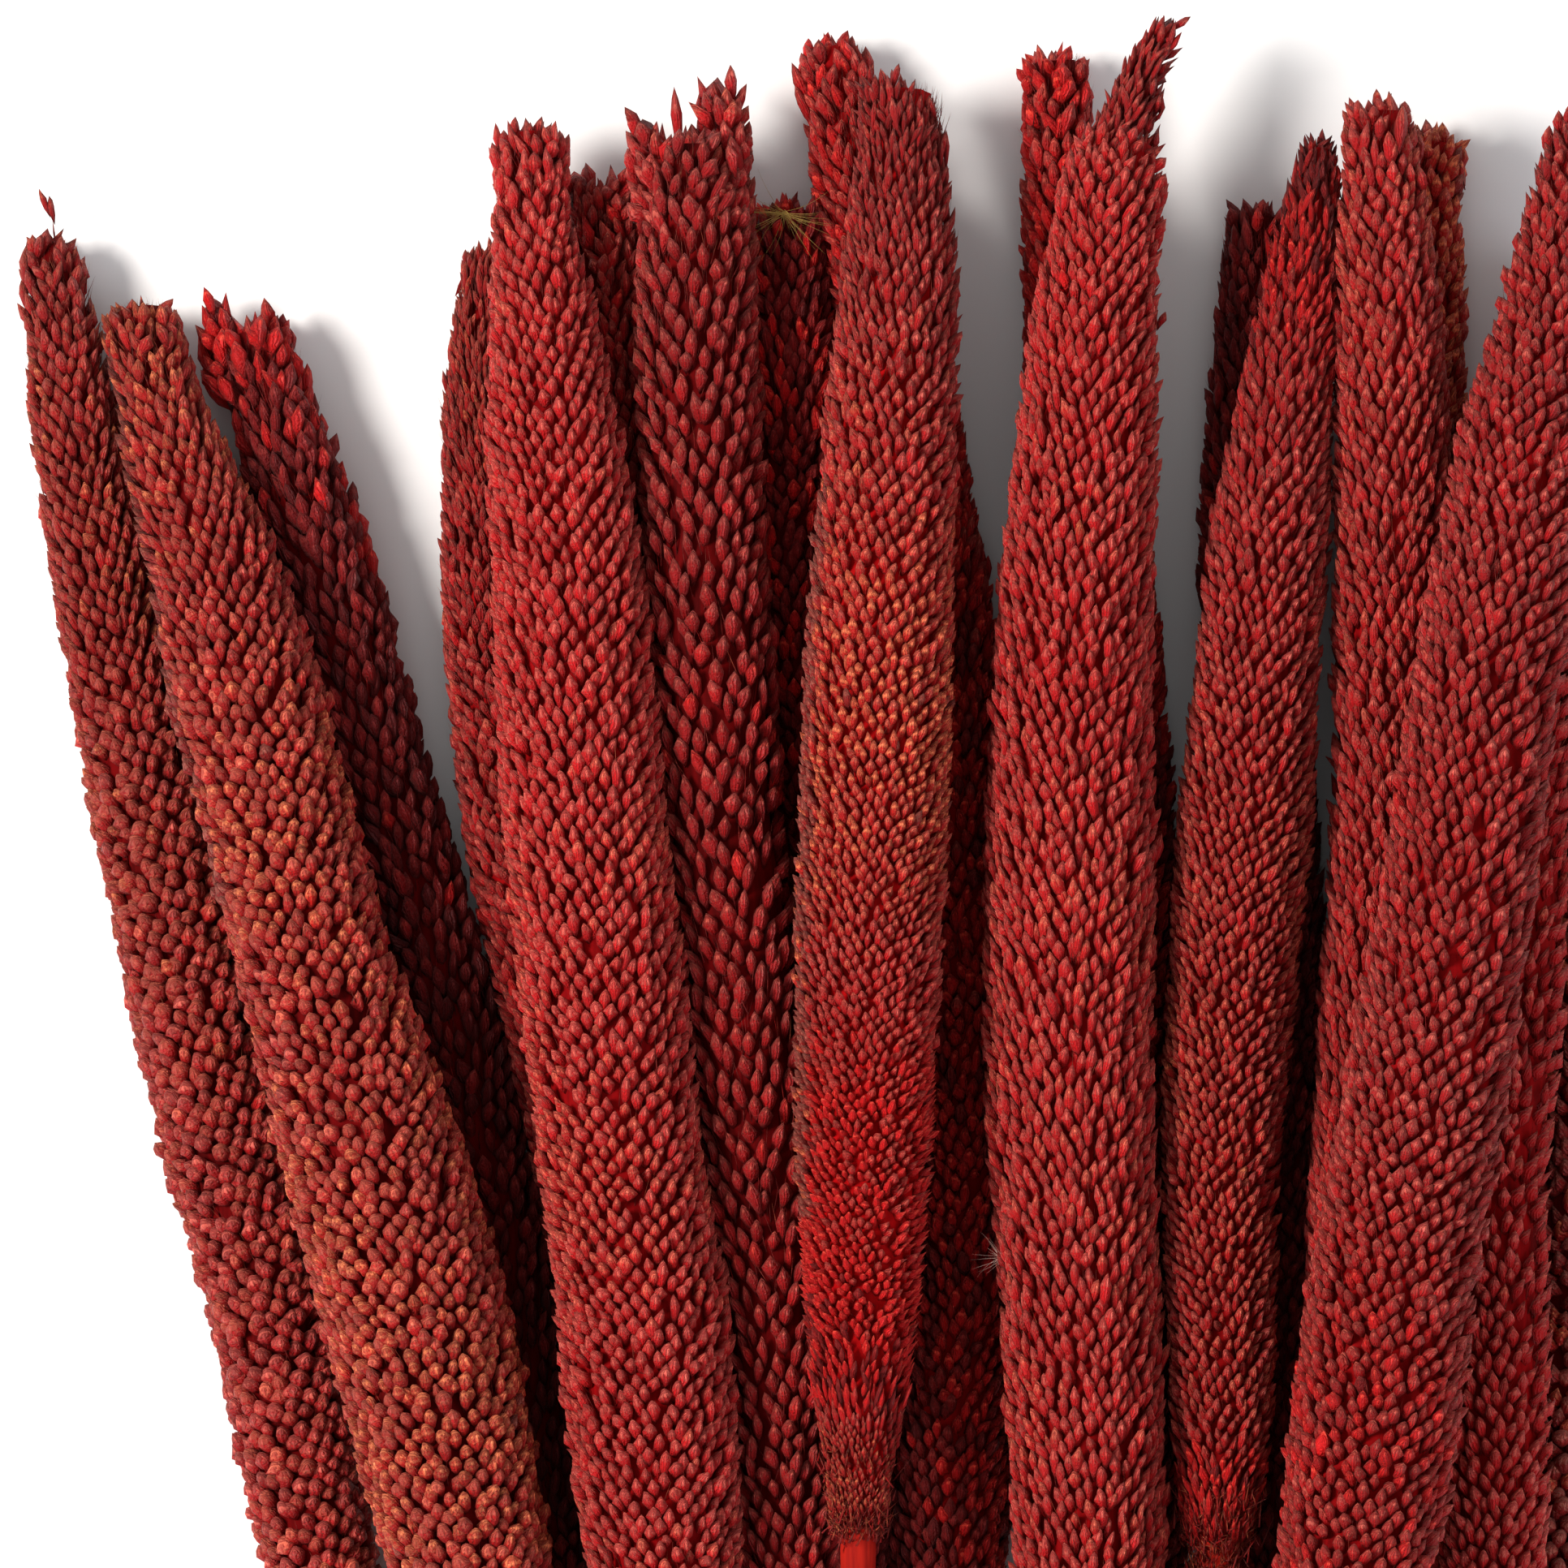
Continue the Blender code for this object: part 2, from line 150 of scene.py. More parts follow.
# Where the photograph's edges lie a little aside of the solid's: at each level of the frame in
# millimetres, how far the head goes to the right and how much its radius grows
NUDGES = {
    1: ((56, -0.6, 0), (96, 0.8, 0), (122, -1.1, 0), (211, -0.7, 0), (237, -1.3, 0),
        (253, -1.7, -0.3), (264, -2.3, -0.6)),
    2: ((57, 0.3, -0.4), (96, 0.5, 0.3), (115, -0.2, -0.3), (135, -0.6, -1.3), (154, -0.8, -1.6),
        (175, 0, -1), (194, 0.9, 0.3), (214, 1.5, 0.5), (233, -0.4, -0.3), (253, -1.7, -0.7)),
    3: ((179, 0, 0), (200, 1.1, 0), (221, 1.7, 0), (242, 0.5, -0.8), (254, -0.8, -1.3)),
    4: ((135, 0, 0), (169, -1.5, 0), (205, -0.7, 0), (226, 0.5, 0), (253, -0.9, 0)),
    5: ((58, 0.3, 0.7), (96, 1.1, 0.6), (116, -0.2, -0.3), (135, -0.5, -0.8), (174, -0.7, -0.3),
        (213, 0.5, 0.3), (232, 0, 0.2), (253, -0.3, -1), (266, -0.9, -1.3), (279, -1, -1.2)),
    6: ((220, 0, 0), (260, -1, 0.5)),
    7: ((100, 0, 0), (135, -1.4, 0), (174, -2.4, -0.5), (193, -1.6, 0), (213, -1.2, 0),
        (233, -0.2, 0)),
    8: ((150, 0, 0), (220, -1.4, 0.8), (275, -1.6, 1.2)),
    9: ((64, -2.2, 2.6), (100, 0, 0), (200, 0, 0), (240, -1.6, 0), (273, -2.6, 0), (297, -2, 0)),
    10: ((58, -1.1, 0), (97, -1, -0.4), (135, -1.1, -0.5), (155, -1, -0.5), (174, -0.5, -0.4),
         (193, -0.5, 0), (253, -0.4, -0.7), (270, -0.8, -0.7)),
    11: ((56, 1.2, 1.8), (80, 0.3, 0.4), (110, 0, 0), (200, 0, 0), (248, -1.4, 0), (266, -0.3, 0)),
    12: ((57, 1.5, 0.9), (77, 1, 0), (96, 0.1, -0.3), (135, -1.1, -0.3), (154, -0.6, -0.5),
         (193, -0.4, 0), (233, -0.2, 0.5), (253, -0.9, 0.7), (266, -1.2, 0.5)),
    13: ((190, 0, 0), (211, -1, 0), (232, 0, 0), (253, 1.4, -0.4), (269, 1.6, -0.8)),
    14: ((58, 1.2, 0.4), (77, 0.9, 0.3), (96, -0.2, 0), (116, -1.2, -0.4), (135, -0.8, 0),
         (155, -0.4, -0.5), (174, 0.2, -0.3), (220, 0.6, 0), (259, 1.8, -0.6), (280, 2, -0.7)),
    15: ((120, 0, 0), (174, 1.3, 0), (226, 0.2, 0), (265, -0.5, 0)),
    16: ((240, 0, 0), (271, -1, 0.6)),
    17: ((58, -1, 0.5), (79, -1.3, 0.4), (98, -1.8, 0), (155, -0.8, -1.6), (175, -1.2, -1.1),
         (194, -1.9, -1.2), (213, -1, 0), (233, -1.2, 0), (252, 1, -0.3), (270, 1.4, -1)),
    18: ((56, -1, 0), (76, -2, -0.8), (96, -3, -1.5), (115, -3.8, -2), (160, -2, -1)),
}

# Small shoots beside or above a tip: the head they grow on, their line in millimetres as seen
# from above, their radius along it, and their look
LOBES = (
    (3, ((-100.8, 243), (-103, 252), (-104.4, 258)), (4, 3, 1.4), "sharp"),
    (3, ((-96.6, 243), (-95.6, 250), (-95.2, 256.6)), (4.6, 3.6, 2.2), "sharp"),
    (6, ((-43.6, 270), (-45.6, 278.5)), (4.4, 2.6), "crown"),
    (6, ((-39.2, 270), (-37.6, 278)), (4, 2.4), "crown"),
    (7, ((-29.8, 270), (-33, 281), (-34.4, 286.5)), (5.2, 3.6, 2.2), "sharp"),
    (7, ((-23.6, 269), (-22.3, 283), (-22.2, 293.8)), (6.8, 5, 2.4), "sharp"),
    (12, ((41.4, 274), (43, 282), (45, 288), (46.8, 293.4),
          (49.4, 299), (51.6, 302)), (6.4, 5, 4.2, 3.3, 2.3, 0.9), "bristly"),
)

# Single spikelets that stand out from the rest: the head, where each starts and points, as seen
# from above, in millimetres, and its width
STRAYS = (
    (1, (-130.3, 270.4), (-132.2, 275.2), 1.1),
    (1, (-129.6, 269.2), (-130.5, 274), 1.3),
    (1, (-129.2, 264), (-130, 270.2), 0.34),
    (1, (-129.4, 261.4), (-134.2, 267.4), 2.1),
    (7, (-28.2, 279), (-29.3, 291), 1.9),
    (7, (-34, 283.4), (-37.2, 287.8), 2),
    (3, (-103.6, 254), (-105.4, 259.2), 1.8),
    (9, (-7, 287.6), (-10.2, 295.6), 2.2),
    (9, (-6.4, 284.6), (-9.8, 291.8), 2),
    (15, (87, 280.4), (85.6, 289.9), 2.6),
    (12, (48.2, 251.2), (49.6, 254.4), 1.2),
)
SHOOT_POINTS = 12
SHOOT_ROUGH = 1.8
SHOOT_MOVES = 2.2  # millimetres, at most
CORE_STEP = 3 * MM  # from one of the spindles inside a shoot to the next
CORE_LENGTH = 8 * MM
CORE_WIDTH = 1.25  # of the shoot's radius
CORE_TONE = 0.15
STRAY_ABOVE = 1.5 * MM  # the head's middle line
STRAY_RISE = 0.6 * MM
STRAY_TONE = 0.05  # more than its head's tip

# Painted light and shade: how light the spikelets are, from 0 to 1, at shares of a head's length
# lower where a head lies in shade, higher where it is lit
PAINTED_LIGHT_AND_SHADE = {
    1: ((0.35, 0), (0.12, 0.6), (0.18, 1)),
    2: ((0.38, 0), (0.34, 1)),
    3: ((0.26, 0), (0.29, 0.85), (0.3, 1)),
    4: ((0.36, 0),),
    5: ((0.62, 0), (0.95, 0.5), (0.8, 1)),
    7: ((0.1, 0), (0.14, 0.8), (0.05, 1)),
    8: ((0.9, 0),),
    10: ((0.97, 0.6), (0.3, 0.85), (0.25, 1)),
    12: ((0.72, 0), (0.94, 1)),
    14: ((0.66, 0), (0.6, 0.6), (0.22, 1)),
    15: ((0.55, 0),),
    16: ((0.97, 0),),
    17: ((0.38, 0), (0.36, 1)),
    18: ((0.95, 0),),
}
EVEN_LIGHT = ((0.5, 0),)  # of the other heads
OTHER_LIGHT = 0.45  # of shoots, strays, tips and bristles

# Painted sheen: heads whose left side, grazed by the key light, is painted a dull brown, between two
# shares of their length
PAINTED_SHEEN = {2: (0.62, 0.98), 10: (0.2, 0.72)}
PAINTED_SHEEN_SIDE = -0.88  # further to the left than this, as a share of the radius
PAINTED_SHEEN_TONE = 0.93

# Loose short hairs round the foot of a head: how many, from where to where along it in
# millimetres, and how far they stand out
NECKS = {10: (1300, -0.8, 13, 1), 14: (2200, -7, 10, 1.3)}
NECK_LEAST = 3.6 * MM
NECK_TONES = (0.31, 0.57, 0.74, 0.81)
# painted light on the neck hairs, against the shade among them
NECK_PAINTED_LIGHT = 0.97
FRILL_EVERY = 5  # of them, one stands in the frill where the head meets the stem

# How unlike each other the spikelets are: the spreads of the random draws
LEAN_VARIES = 6  # degrees
AROUND_VARIES = 0.12
LENGTH_VARIES = 0.1
WIDTH_VARIES = 0.11
WIDTH_LIMITS = (0.75, 1.3)  # of the look's width
DEPTHS = (0.92, 0.08)  # of a spikelet's width: the middle and the spread
BENDS = (0.03, 0.06)  # of its length, likewise
REACH_VARIES = 0.025
PLACE_VARIES = 0.085  # of the distance between two of them
BLUNT_VARIES = 0.055  # more, where they are blunt
PATCH_VARIES = 0.022  # of the tone, for each of the waves that make it patchy
PATCH_WAVES = 4
WAVE_RANGE = (20, 120)  # radians to a metre of the head
TONE_VARIES = 0.045
LIGHT_VARIES = 0.17
CORNER_VARIES = 0.13  # of a spikelet's radius, how far each corner may lie in or out

# Bristles among the spikelets of every head
HAIRS = 2400  # drawn for each head; most of those that can't be seen from above are left out
HAIR_WIDTH = 0.24
NECK_HAIR_WIDTH = 0.36
HAIR_LENGTHS = (0.8, 1.15)  # of the spikelets' length
HAIR_LEAN = 0.85  # of their lean
HAIR_ROUGH = 1.2
HAIR_BEND = 0.1
HAIR_TONES = (0.05, 0.15)  # more than the spikelets: the middle and the spread
TIP_HAIRS = HAIRS // 5
TIP_PART = 0.12  # of the head's length, where those stand
PALE_FROM = 0.55  # of the way up a cell of the map, where the colours of a bristle start

# The stem below and inside a head
JOINT_AT = 118 * MM  # from the cut end to the joint of each stem
JOINT = 3 * MM  # half the length of its swelling
STEM_SHARE = 0.93  # of the solid's stem
JOINT_SWELLS = 0.05
FLARE = 0.2  # of the stem's radius, how much it widens into the head
FLARE_OVER = 12 * MM
STALK_SIDES = 10
STEM_STEP = 4 * MM
BED_STEP = 5 * MM
BED_LEAST = 1.6 * MM
BED_UNDER = 0.6 * MM  # below the sunk parts of the spikelets
SUNK = 0.4  # of a spikelet's length

# The grain's map: cells side by side, one tone to a column and one painted lightness, for light and
# shade, to a row
CELLS = 8
CELL_EDGE = 0.06  # of a cell, kept clear of its neighbours

# Linear colours of the foot, belly and point of a spikelet, one row to a tone: deep crimson,
# crimson, vivid red, brick red, mauve, brick, warm orange and brown
PALETTE = (
    ((0.11, 0.0004, 0.0008), (0.14, 0.003, 0.004), (0.14, 0.009, 0.008)),
    ((0.19, 0.0008, 0.0016), (0.22, 0.006, 0.006), (0.22, 0.018, 0.014)),
    ((0.54, 0.0018, 0.0028), (0.53, 0.004, 0.005), (0.6, 0.045, 0.026)),
    ((0.43, 0.0016, 0.0036), (0.4, 0.037, 0.028), (0.44, 0.07, 0.045)),
    ((0.43, 0.002, 0.0042), (0.41, 0.051, 0.04), (0.45, 0.08, 0.056)),
    ((0.42, 0.0034, 0.0044), (0.45, 0.063, 0.04), (0.52, 0.104, 0.058)),
    ((0.44, 0.007, 0.0054), (0.49, 0.083, 0.037), (0.6, 0.155, 0.064)),
    ((0.24, 0.004, 0.004), (0.29, 0.06, 0.042), (0.24, 0.07, 0.048)),
)
SPECK_COLOUR = (0.07, 0.006, 0.008, 1)

# Where the patterns of a spikelet begin and are full, each on its own scale
BELLY = (0.55, 0.76)
POINT = (0.84, 1)
SPECKS = (0.57, 0.66)
# The glints are painted highlights near the point
GLINTS = (0.53, 0.62)
GLINT_PART = (0.58, 0.8)
GLINT = 1.75  # times as light as the point's colour
VEINS = 50.0  # radians across a cell
# painted light and shade, from the map's row
PAINTED_LIGHT_SCALE = (0.70, 0.62)  # of the colours: how much it rises with the row, and where it starts

# Fibres: the dark and the light colour, how fine the streaks are along each axis, and the shine
FIBRES = {
    "dyed_stem": ((0.16, 0.002, 0.0015), (0.46, 0.014, 0.006), (900, 40, 900), 0.1),
    "cut_pith": ((0.2, 0.05, 0.03), (0.55, 0.32, 0.2), (900, 900, 900), 0.2),
    # The beds: the core's red, darkened as painted shade for the gaps between the spikelets
    "deep_bed": ((0.03, 0.0003, 0.0004), (0.14, 0.001, 0.0016), (900, 40, 900), 0.05),
    "red_bed": ((0.1, 0.0007, 0.0012), (0.29, 0.0018, 0.003), (900, 40, 900), 0.05),
    "vivid_bed": ((0.18, 0.0008, 0.0014), (0.42, 0.0022, 0.0034), (900, 40, 900), 0.05),
    "jute": ((0.2, 0.12, 0.055), (0.52, 0.38, 0.21), (1500, 1500, 1500), 0.2),
    "golden_bristle": ((0.34, 0.2, 0.03), (0.8, 0.56, 0.18), (300, 300, 300), 0.2),
    "pale_bristle": ((0.75, 0.36, 0.28), (0.9, 0.66, 0.58), (300, 300, 300), 0.2),
}

# The tie, as it was built: stems in a hexagon with the twine round them
GAP = 0.3 * MM
PITCH = 2 * STEM + GAP
RANK = PITCH * sqrt(3) / 2
TWINE = 1.5 * MM
TURNS = 3
TWINE_PITCH = 2 * TWINE + GAP
KNOT = 3.4 * MM
END_LENGTH = 24 * MM
TIE_MIDDLE = np.array([7.45 * MM, -229.9 * MM, 2 * TWINE - 0.4 * MM + GAP + STEM + 2 * RANK])
CORNER_TURNS = (-30, -15, 0, 15, 30)  # degrees, where the twine bends round a corner of the hexagon
FIRST_CORNER = 9  # of the points round the hexagon, where the winding starts under the knot
WINDING_TURNS = 1.6
WINDING_POINTS = 30

# The strands and loose fibres of the twine
STRANDS = 3
STRAND = 0.8 * MM  # radius of each strand
STRAND_OFF = 0.7 * MM  # from the middle of the twine to the middle of a strand
STRAND_SIDES = 6
TWIST = 8 * MM  # length of one turn of the strands
FRAYED = 5 * MM  # of each end
FRAY = 1.4  # of its distance from the middle, how far a strand springs out at an end
SOFTENINGS = 3
FIBRE = 0.09 * MM
FIBRE_LENGTHS = (2.2 * MM, 5 * MM)  # along the twine, and at its ends
END_FIBRES = 40

# Tufts of loose bristles caught on the heads: their middle in millimetres, how many bristles they
# have, the longest one's length, and the two ways that they spread, in degrees
TUFTS = {
    "golden": ((-11.4, 270.8, 14.2), 60, 10, (185, 322)),
    "pale": ((23.4, 103, 31), 20, 5.5, (140, 200)),
}
TUFT_SPREAD = 26  # degrees
BRISTLE_POINTS = 7
BRISTLE_RADII = (0.042 * MM, 0.014 * MM)  # at its foot and at its point

# The photograph's crop of the bunch, in metres, and the camera over it
CROP = 0.251
CROP_MIDDLE = (-0.01147, 0.1787, 0.028)
CAMERA_HEIGHT = 1.6

# The studio: place, size, power and colour of each lamp
LAMPS = {
    "key": ((-1.2, 0.4, 1.25), 0.6, 38, (1, 0.95, 0.9)),
    "fill": ((1.3, -0.2, 1.1), 1, 6, (0.9, 0.92, 1)),
}
LAMP_TARGET = (0, 0.15, 0.02)
SKY_LIGHT = 0.56
FLOOR_HALF = 3.0


class Rows(SimpleNamespace):
    """Spikelets or bristles, each one a row of every array: base, ahead, top, length, width, depth,
    bend, blunt, tone and light."""
# light is the painted light and shade of each


class Axis:
    """The middle line of a spike, with its radius over the spikelets and its own directions."""

    def __init__(self, points, radius, head=0, cut=0):
        self.points = points
        self.radius = radius
        self.s = lengths_along(points)
        self.head = self.s[head]
        self.end = self.s[-1] - cut * MM
        self.ahead = unit(np.gradient(points, self.s, axis=0))
        self.up = unit(sideways(np.array([0, 0, 1]), self.ahead))
        self.side = np.cross(self.ahead, self.up)

    def at(self, s):
        """Place, radius, and the directions ahead, up and aside at each distance."""
        rows = (self.points, self.ahead, self.up, self.side)
        middle, ahead, up, side = (points_at(s, self.s, row) for row in rows)
        return middle, np.interp(s, self.s, self.radius), ahead, up, side

    def level(self, ys):
        """How high the middle line lies where it passes each y."""
        return self.at(np.interp(ys, self.points[:, 1], self.s))[0][:, 2]


def unit(rows):
    return rows / np.linalg.norm(rows, axis=-1, keepdims=True)


def sideways(rows, ahead):
    """The rows without their part along the directions ahead."""
    return rows - ahead * (rows * ahead).sum(axis=1, keepdims=True)


def lengths_along(points):
    """How far along a line each of its points lies."""
    return np.concatenate([[0], np.cumsum(np.linalg.norm(np.diff(points, axis=0), axis=1))])


def points_at(wanted, at, points):
    """A line's places at the wanted distances, when its points lie at the given ones."""
    return np.stack([np.interp(wanted, at, points[:, k]) for k in range(3)], axis=1)


def corners_of(mesh):
    """The vertices of a mesh, in metres."""
    flat = np.zeros(len(mesh.vertices) * 3)
    mesh.vertices.foreach_get("co", flat)
    return flat.reshape(-1, 3)


def move_corners(mesh, places):
    """Gives a mesh's vertices new places, in metres."""
    mesh.vertices.foreach_set("co", places.astype(np.float32).ravel())
    mesh.update()


def axis_of(mesh, number):
    """Reads a spike's middle line and outline from its solid."""
    corners = corners_of(mesh)
    low = corners[:, 1].min()
    high = corners[:, 1].max()
    ys = np.linspace(low, high, int((high - low) / STEP))
    points = middle_line(corners, ys)
    levels, peaks = peaks_along(corners, points)
    head = int(np.searchsorted(ys, levels[0] - PEAK_REACH))
    outline = np.pad(np.interp(ys, levels, peaks), SMOOTH_OVER // 2, mode="edge")
    outline = np.convolve(outline, np.ones(SMOOTH_OVER) / SMOOTH_OVER, mode="valid")
    share = np.clip((ys - ys[head]) / (high - ys[head]), 0, 1)
    outline = np.minimum(outline, outline.max() * np.interp(share, *FOOT))
    if number in BASES:
        places, radii = BASES[number]
        outline = np.where(share < places[-1], np.interp(share, places, radii) * MM, outline)
    outline[:head] = STEM
    if number in NUDGES:
        nudge(points, outline, head, NUDGES[number])
    return Axis(points, outline, head, HEADS[number].cut)


def middle_line(corners, ys):
    """A smooth line through the middles of the sections."""
    middles = []
    for y in np.arange(ys[0], ys[-1], SLICE):
        rows = corners[np.abs(corners[:, 1] - y) < SLICE_REACH]
        if len(rows) > 3:
            middles.append((rows.min(axis=0) + rows.max(axis=0)) / 2)
    middles = np.array(middles)
    fits = [np.polynomial.Chebyshev.fit(middles[:, 1], middles[:, k], AXIS_ORDER)(ys) for k in (0, 2)]
    return np.stack([fits[0], ys, fits[1]], axis=1)


def peaks_along(corners, points):
    """The outermost points of a head: their levels, and their distances from the middle line."""
    ys = points[:, 1]
    ahead = unit(np.gradient(points, axis=0))
    nearest = np.clip(np.searchsorted(ys, corners[:, 1]), 0, len(ys) - 1)
    away = np.linalg.norm(sideways(corners - points[nearest], ahead[nearest]), axis=1)
    peaks = {}
    for y in ys[::PEAK_EVERY]:
        near = np.flatnonzero(np.abs(corners[:, 1] - y) < PEAK_REACH)
        if len(near) == 0:
            continue
        peak = near[np.argmax(away[near])]
        if away[peak] > HEAD_FROM:
            peaks[float(corners[peak, 1])] = away[peak]
    levels = sorted(peaks)
    return levels, [peaks[level] for level in levels]


def nudge(points, outline, head, stops):
    """Moves a middle line and its outline towards the edges that the photograph shows."""
    levels, aside, wider = (np.array(row) for row in zip(*stops))
    ys = points[:, 1] / MM
    fade = np.clip(np.arange(len(ys)) / head, 0, 1)
    points[:, 0] += np.interp(ys, levels, aside) * fade * MM
    outline[head:] += np.interp(ys[head:], levels, wider) * MM


def along_stops(stops, share):
    """The values between stops of (value, share), at each share."""
    return np.interp(share, [stop[1] for stop in stops], [stop[0] for stop in stops])


def looks_along(stops, share):
    """The look at each share of a head, between stops of (name, share)."""
    parts = range(len(Look._fields))
    return Look(*[along_stops([(LOOKS[name][k], at) for name, at in stops], share) for k in parts])


def spindle(sides, rings):
    """A closed seed shape: unit places along and across, its faces, and its place in the map's cell."""
    turns = [2 * pi * k / sides for k in range(sides)]
    along = [0, *[share for share, _ in rings for _ in turns], 1]
    across = [(0, 0), *[(radius * cos(t), radius * sin(t)) for _, radius in rings for t in turns], (0, 0)]
    round_at = [0.5, *[0.5 - 0.5 * cos(t) for _ in rings for t in turns], 0.5]
    last = len(along) - 1
    top = last - sides
    faces = []
    for k in range(sides):
        after = (k + 1) % sides
        faces.append((0, 1 + after, 1 + k))
        for start in range(1, top, sides):
            faces.append((start + k, start + after, start + after + sides))
            faces.append((start + k, start + after + sides, start + k + sides))
        faces.append((last, top + k, top + after))
    return np.array(along), np.array(across), np.array(faces), np.array(round_at)


# Finer spikelets where they show, plainer ones low down, and the plainest between the heads
SEEN = spindle(5, ((0.34, 0.78), (0.63, 1.03), (0.84, 0.58)))
BLUNT = spindle(6, ((0.36, 0.78), (0.66, 1.02), (0.87, 0.56)))
LOW = spindle(4, ((0.45, 1.08),))
HIDDEN = spindle(3, ((0.46, 1.2),))
HIDDEN_WIDER = 1.4
HIDDEN_EVERY = 2  # of the hidden spikelets, one is kept
HAIR_RIM = np.array([(1, 0), (-0.5, 0.87), (-0.5, -0.87), (0, 0)])
HAIR_FACES = np.array([(0, 1, 3), (1, 2, 3), (2, 0, 3), (0, 2, 1)])
HAIR = (np.array([0, 0, 0, 1]), HAIR_RIM, HAIR_FACES, np.array([0.1, 0.5, 0.9, 0.5]))
HAIRS_EVERY = 6  # of the bristles out of sight, one is kept


def copies_of(shape, rows, rng, foot=0.0):
    """A copy of a shape for each row, with the map's cell for its tone and its painted light and shade.
    """
    along, across, faces, round_at = shape
    number = len(rows.length)
    size = len(along)
    light = getattr(rows, "light", np.full(number, OTHER_LIGHT))
    cell = []
    for value, varies in ((rows.tone, TONE_VARIES), (light, LIGHT_VARIES)):
        value = np.clip(value + rng.normal(0, varies, number), 0, 0.999)
        cell.append(np.floor(value * CELLS)[:, None] + CELL_EDGE)
    uneven = rng.normal(1, CORNER_VARIES, (number, size))
    base, ahead, top = (part[:, None, :] for part in (rows.base, rows.ahead, rows.top))
    length = rows.length[:, None]
    out = across[:, 0] * uneven * rows.depth[:, None] / 2 + rows.bend[:, None] * length * along**2
    over = across[:, 1] * uneven * rows.width[:, None] / 2
    places = base + (along * length)[..., None] * ahead
    places = places + out[..., None] * top + over[..., None] * np.cross(ahead, top)
    faces = faces + size * np.arange(number)[:, None, None]
    inside = 1 - 2 * CELL_EDGE
    u = (cell[0] + inside * round_at) / CELLS
    v = (cell[1] + inside * (foot + (1 - foot) * along)) / CELLS
    return places.reshape(-1, 3), faces.reshape(-1, 3), np.stack([u, v], axis=-1).reshape(-1, 2)


def joined(name, parts, materials):
    """One smooth object from parts, each with its places, triangles and, for some, map."""
    places, faces, *maps = zip(*parts)
    starts = np.cumsum([0, *map(len, places[:-1])])
    faces = np.concatenate([rows + start for rows, start in zip(faces, starts)])
    places = np.concatenate(places)
    mesh = bpy.data.meshes.new(name)
    mesh.vertices.add(len(places))
    mesh.vertices.foreach_set("co", places.astype(np.float32).ravel())
    mesh.loops.add(faces.size)
    mesh.loops.foreach_set("vertex_index", faces.astype(np.int32).ravel())
    mesh.polygons.add(len(faces))
    mesh.polygons.foreach_set("loop_start", np.arange(0, faces.size, 3, dtype=np.int32))
    mesh.update(calc_edges=True)
    mesh.shade_smooth()
    if maps:
        corners = np.concatenate(maps[0])[faces.ravel()]
        layer = mesh.uv_layers.new(name="OFBake")
        layer.uv.foreach_set("vector", corners.astype(np.float32).ravel())
    for material in materials:
        mesh.materials.append(material)
    return linked(name, mesh)


def linked(name, data):
    made = bpy.data.objects.new(name, data)
    bpy.context.scene.collection.objects.link(made)
    return made


def tree_of(nodes):
    """All the solids in one tree, to find what hides behind what."""
    places = []
    faces = []
    for obj in nodes:
        start = len(places)
        places.extend(corners_of(obj.data).tolist())
        faces.extend([[v + start for v in p.vertices] for p in obj.data.polygons])
    return BVHTree.FromPolygons(places, faces)


RAY_START = 0.4 * MM  # from a point, so that a ray doesn't meet what the point lies on


def open_to(tree, points, directions):
    """Whether each point sees the sky in one of the directions at least."""
    rays = [Vector(direction) for direction in directions]
    seen = []
    for point in points.tolist():
        start = Vector(point)
        seen.append(any(tree.ray_cast(start + ray * RAY_START, ray)[0] is None for ray in rays))
    return np.array(seen, bool)


def round_sky(elevation, count):
    """Directions all round at one height above the horizon, in degrees."""
    rise = radians(elevation)
    turns = [2 * pi * k / count for k in range(count)]
    flat = cos(rise)
    return [(cos(t) * flat, sin(t) * flat, sin(rise)) for t in turns]


ABOVE = [(0, 0, 1)]
AROUND = round_sky(18, 8) + round_sky(38, 6) + round_sky(62, 6)
PROBE_AT = 0.65  # of a spikelet's length
PROBE_ABOVE = 0.9 * MM


def standing(axis, at, turn, reach, look, rng, rough=1.0):
    """Spikelets with their points at the given places round an axis, leaning to its tip."""
    count = len(at)
    middle, _, ahead, up, side = axis.at(at)
    outward = up * np.cos(turn)[:, None] + side * np.sin(turn)[:, None]
    around = np.cross(ahead, outward)
    lean = np.radians(look.lean + rng.normal(0, LEAN_VARIES, count) * rough)
    points_to = ahead * np.cos(lean)[:, None] + outward * np.sin(lean)[:, None]
    points_to = unit(points_to + around * (rng.normal(0, AROUND_VARIES, count) * rough)[:, None])
    length = look.length * MM * (1 + rng.normal(0, LENGTH_VARIES, count) * rough)
    width = look.width * MM * np.clip(rng.normal(1, WIDTH_VARIES, count), *WIDTH_LIMITS)
    return Rows(
        base=middle + outward * reach[:, None] - points_to * length[:, None],
        ahead=points_to,
        top=unit(np.cross(np.cross(points_to, outward), points_to)),
        length=length,
        width=width,
        depth=width * rng.normal(*DEPTHS, count),
        bend=rng.normal(*BENDS, count),
        blunt=look.blunt * np.ones(count),
    )


def spiral(axis, start, end, area_at):
    """Even places along a spiral round an axis: the distance and the turn of each."""
    s = np.linspace(start, end, SPIRAL_STEPS)
    around = 2 * pi * axis.at(s)[1][:-1]
    total = np.concatenate([[0], np.cumsum(around / area_at(s)[:-1] * np.diff(s))])
    order = np.arange(int(total[-1])) + 0.5
    return np.interp(order, total, s), order * GOLDEN


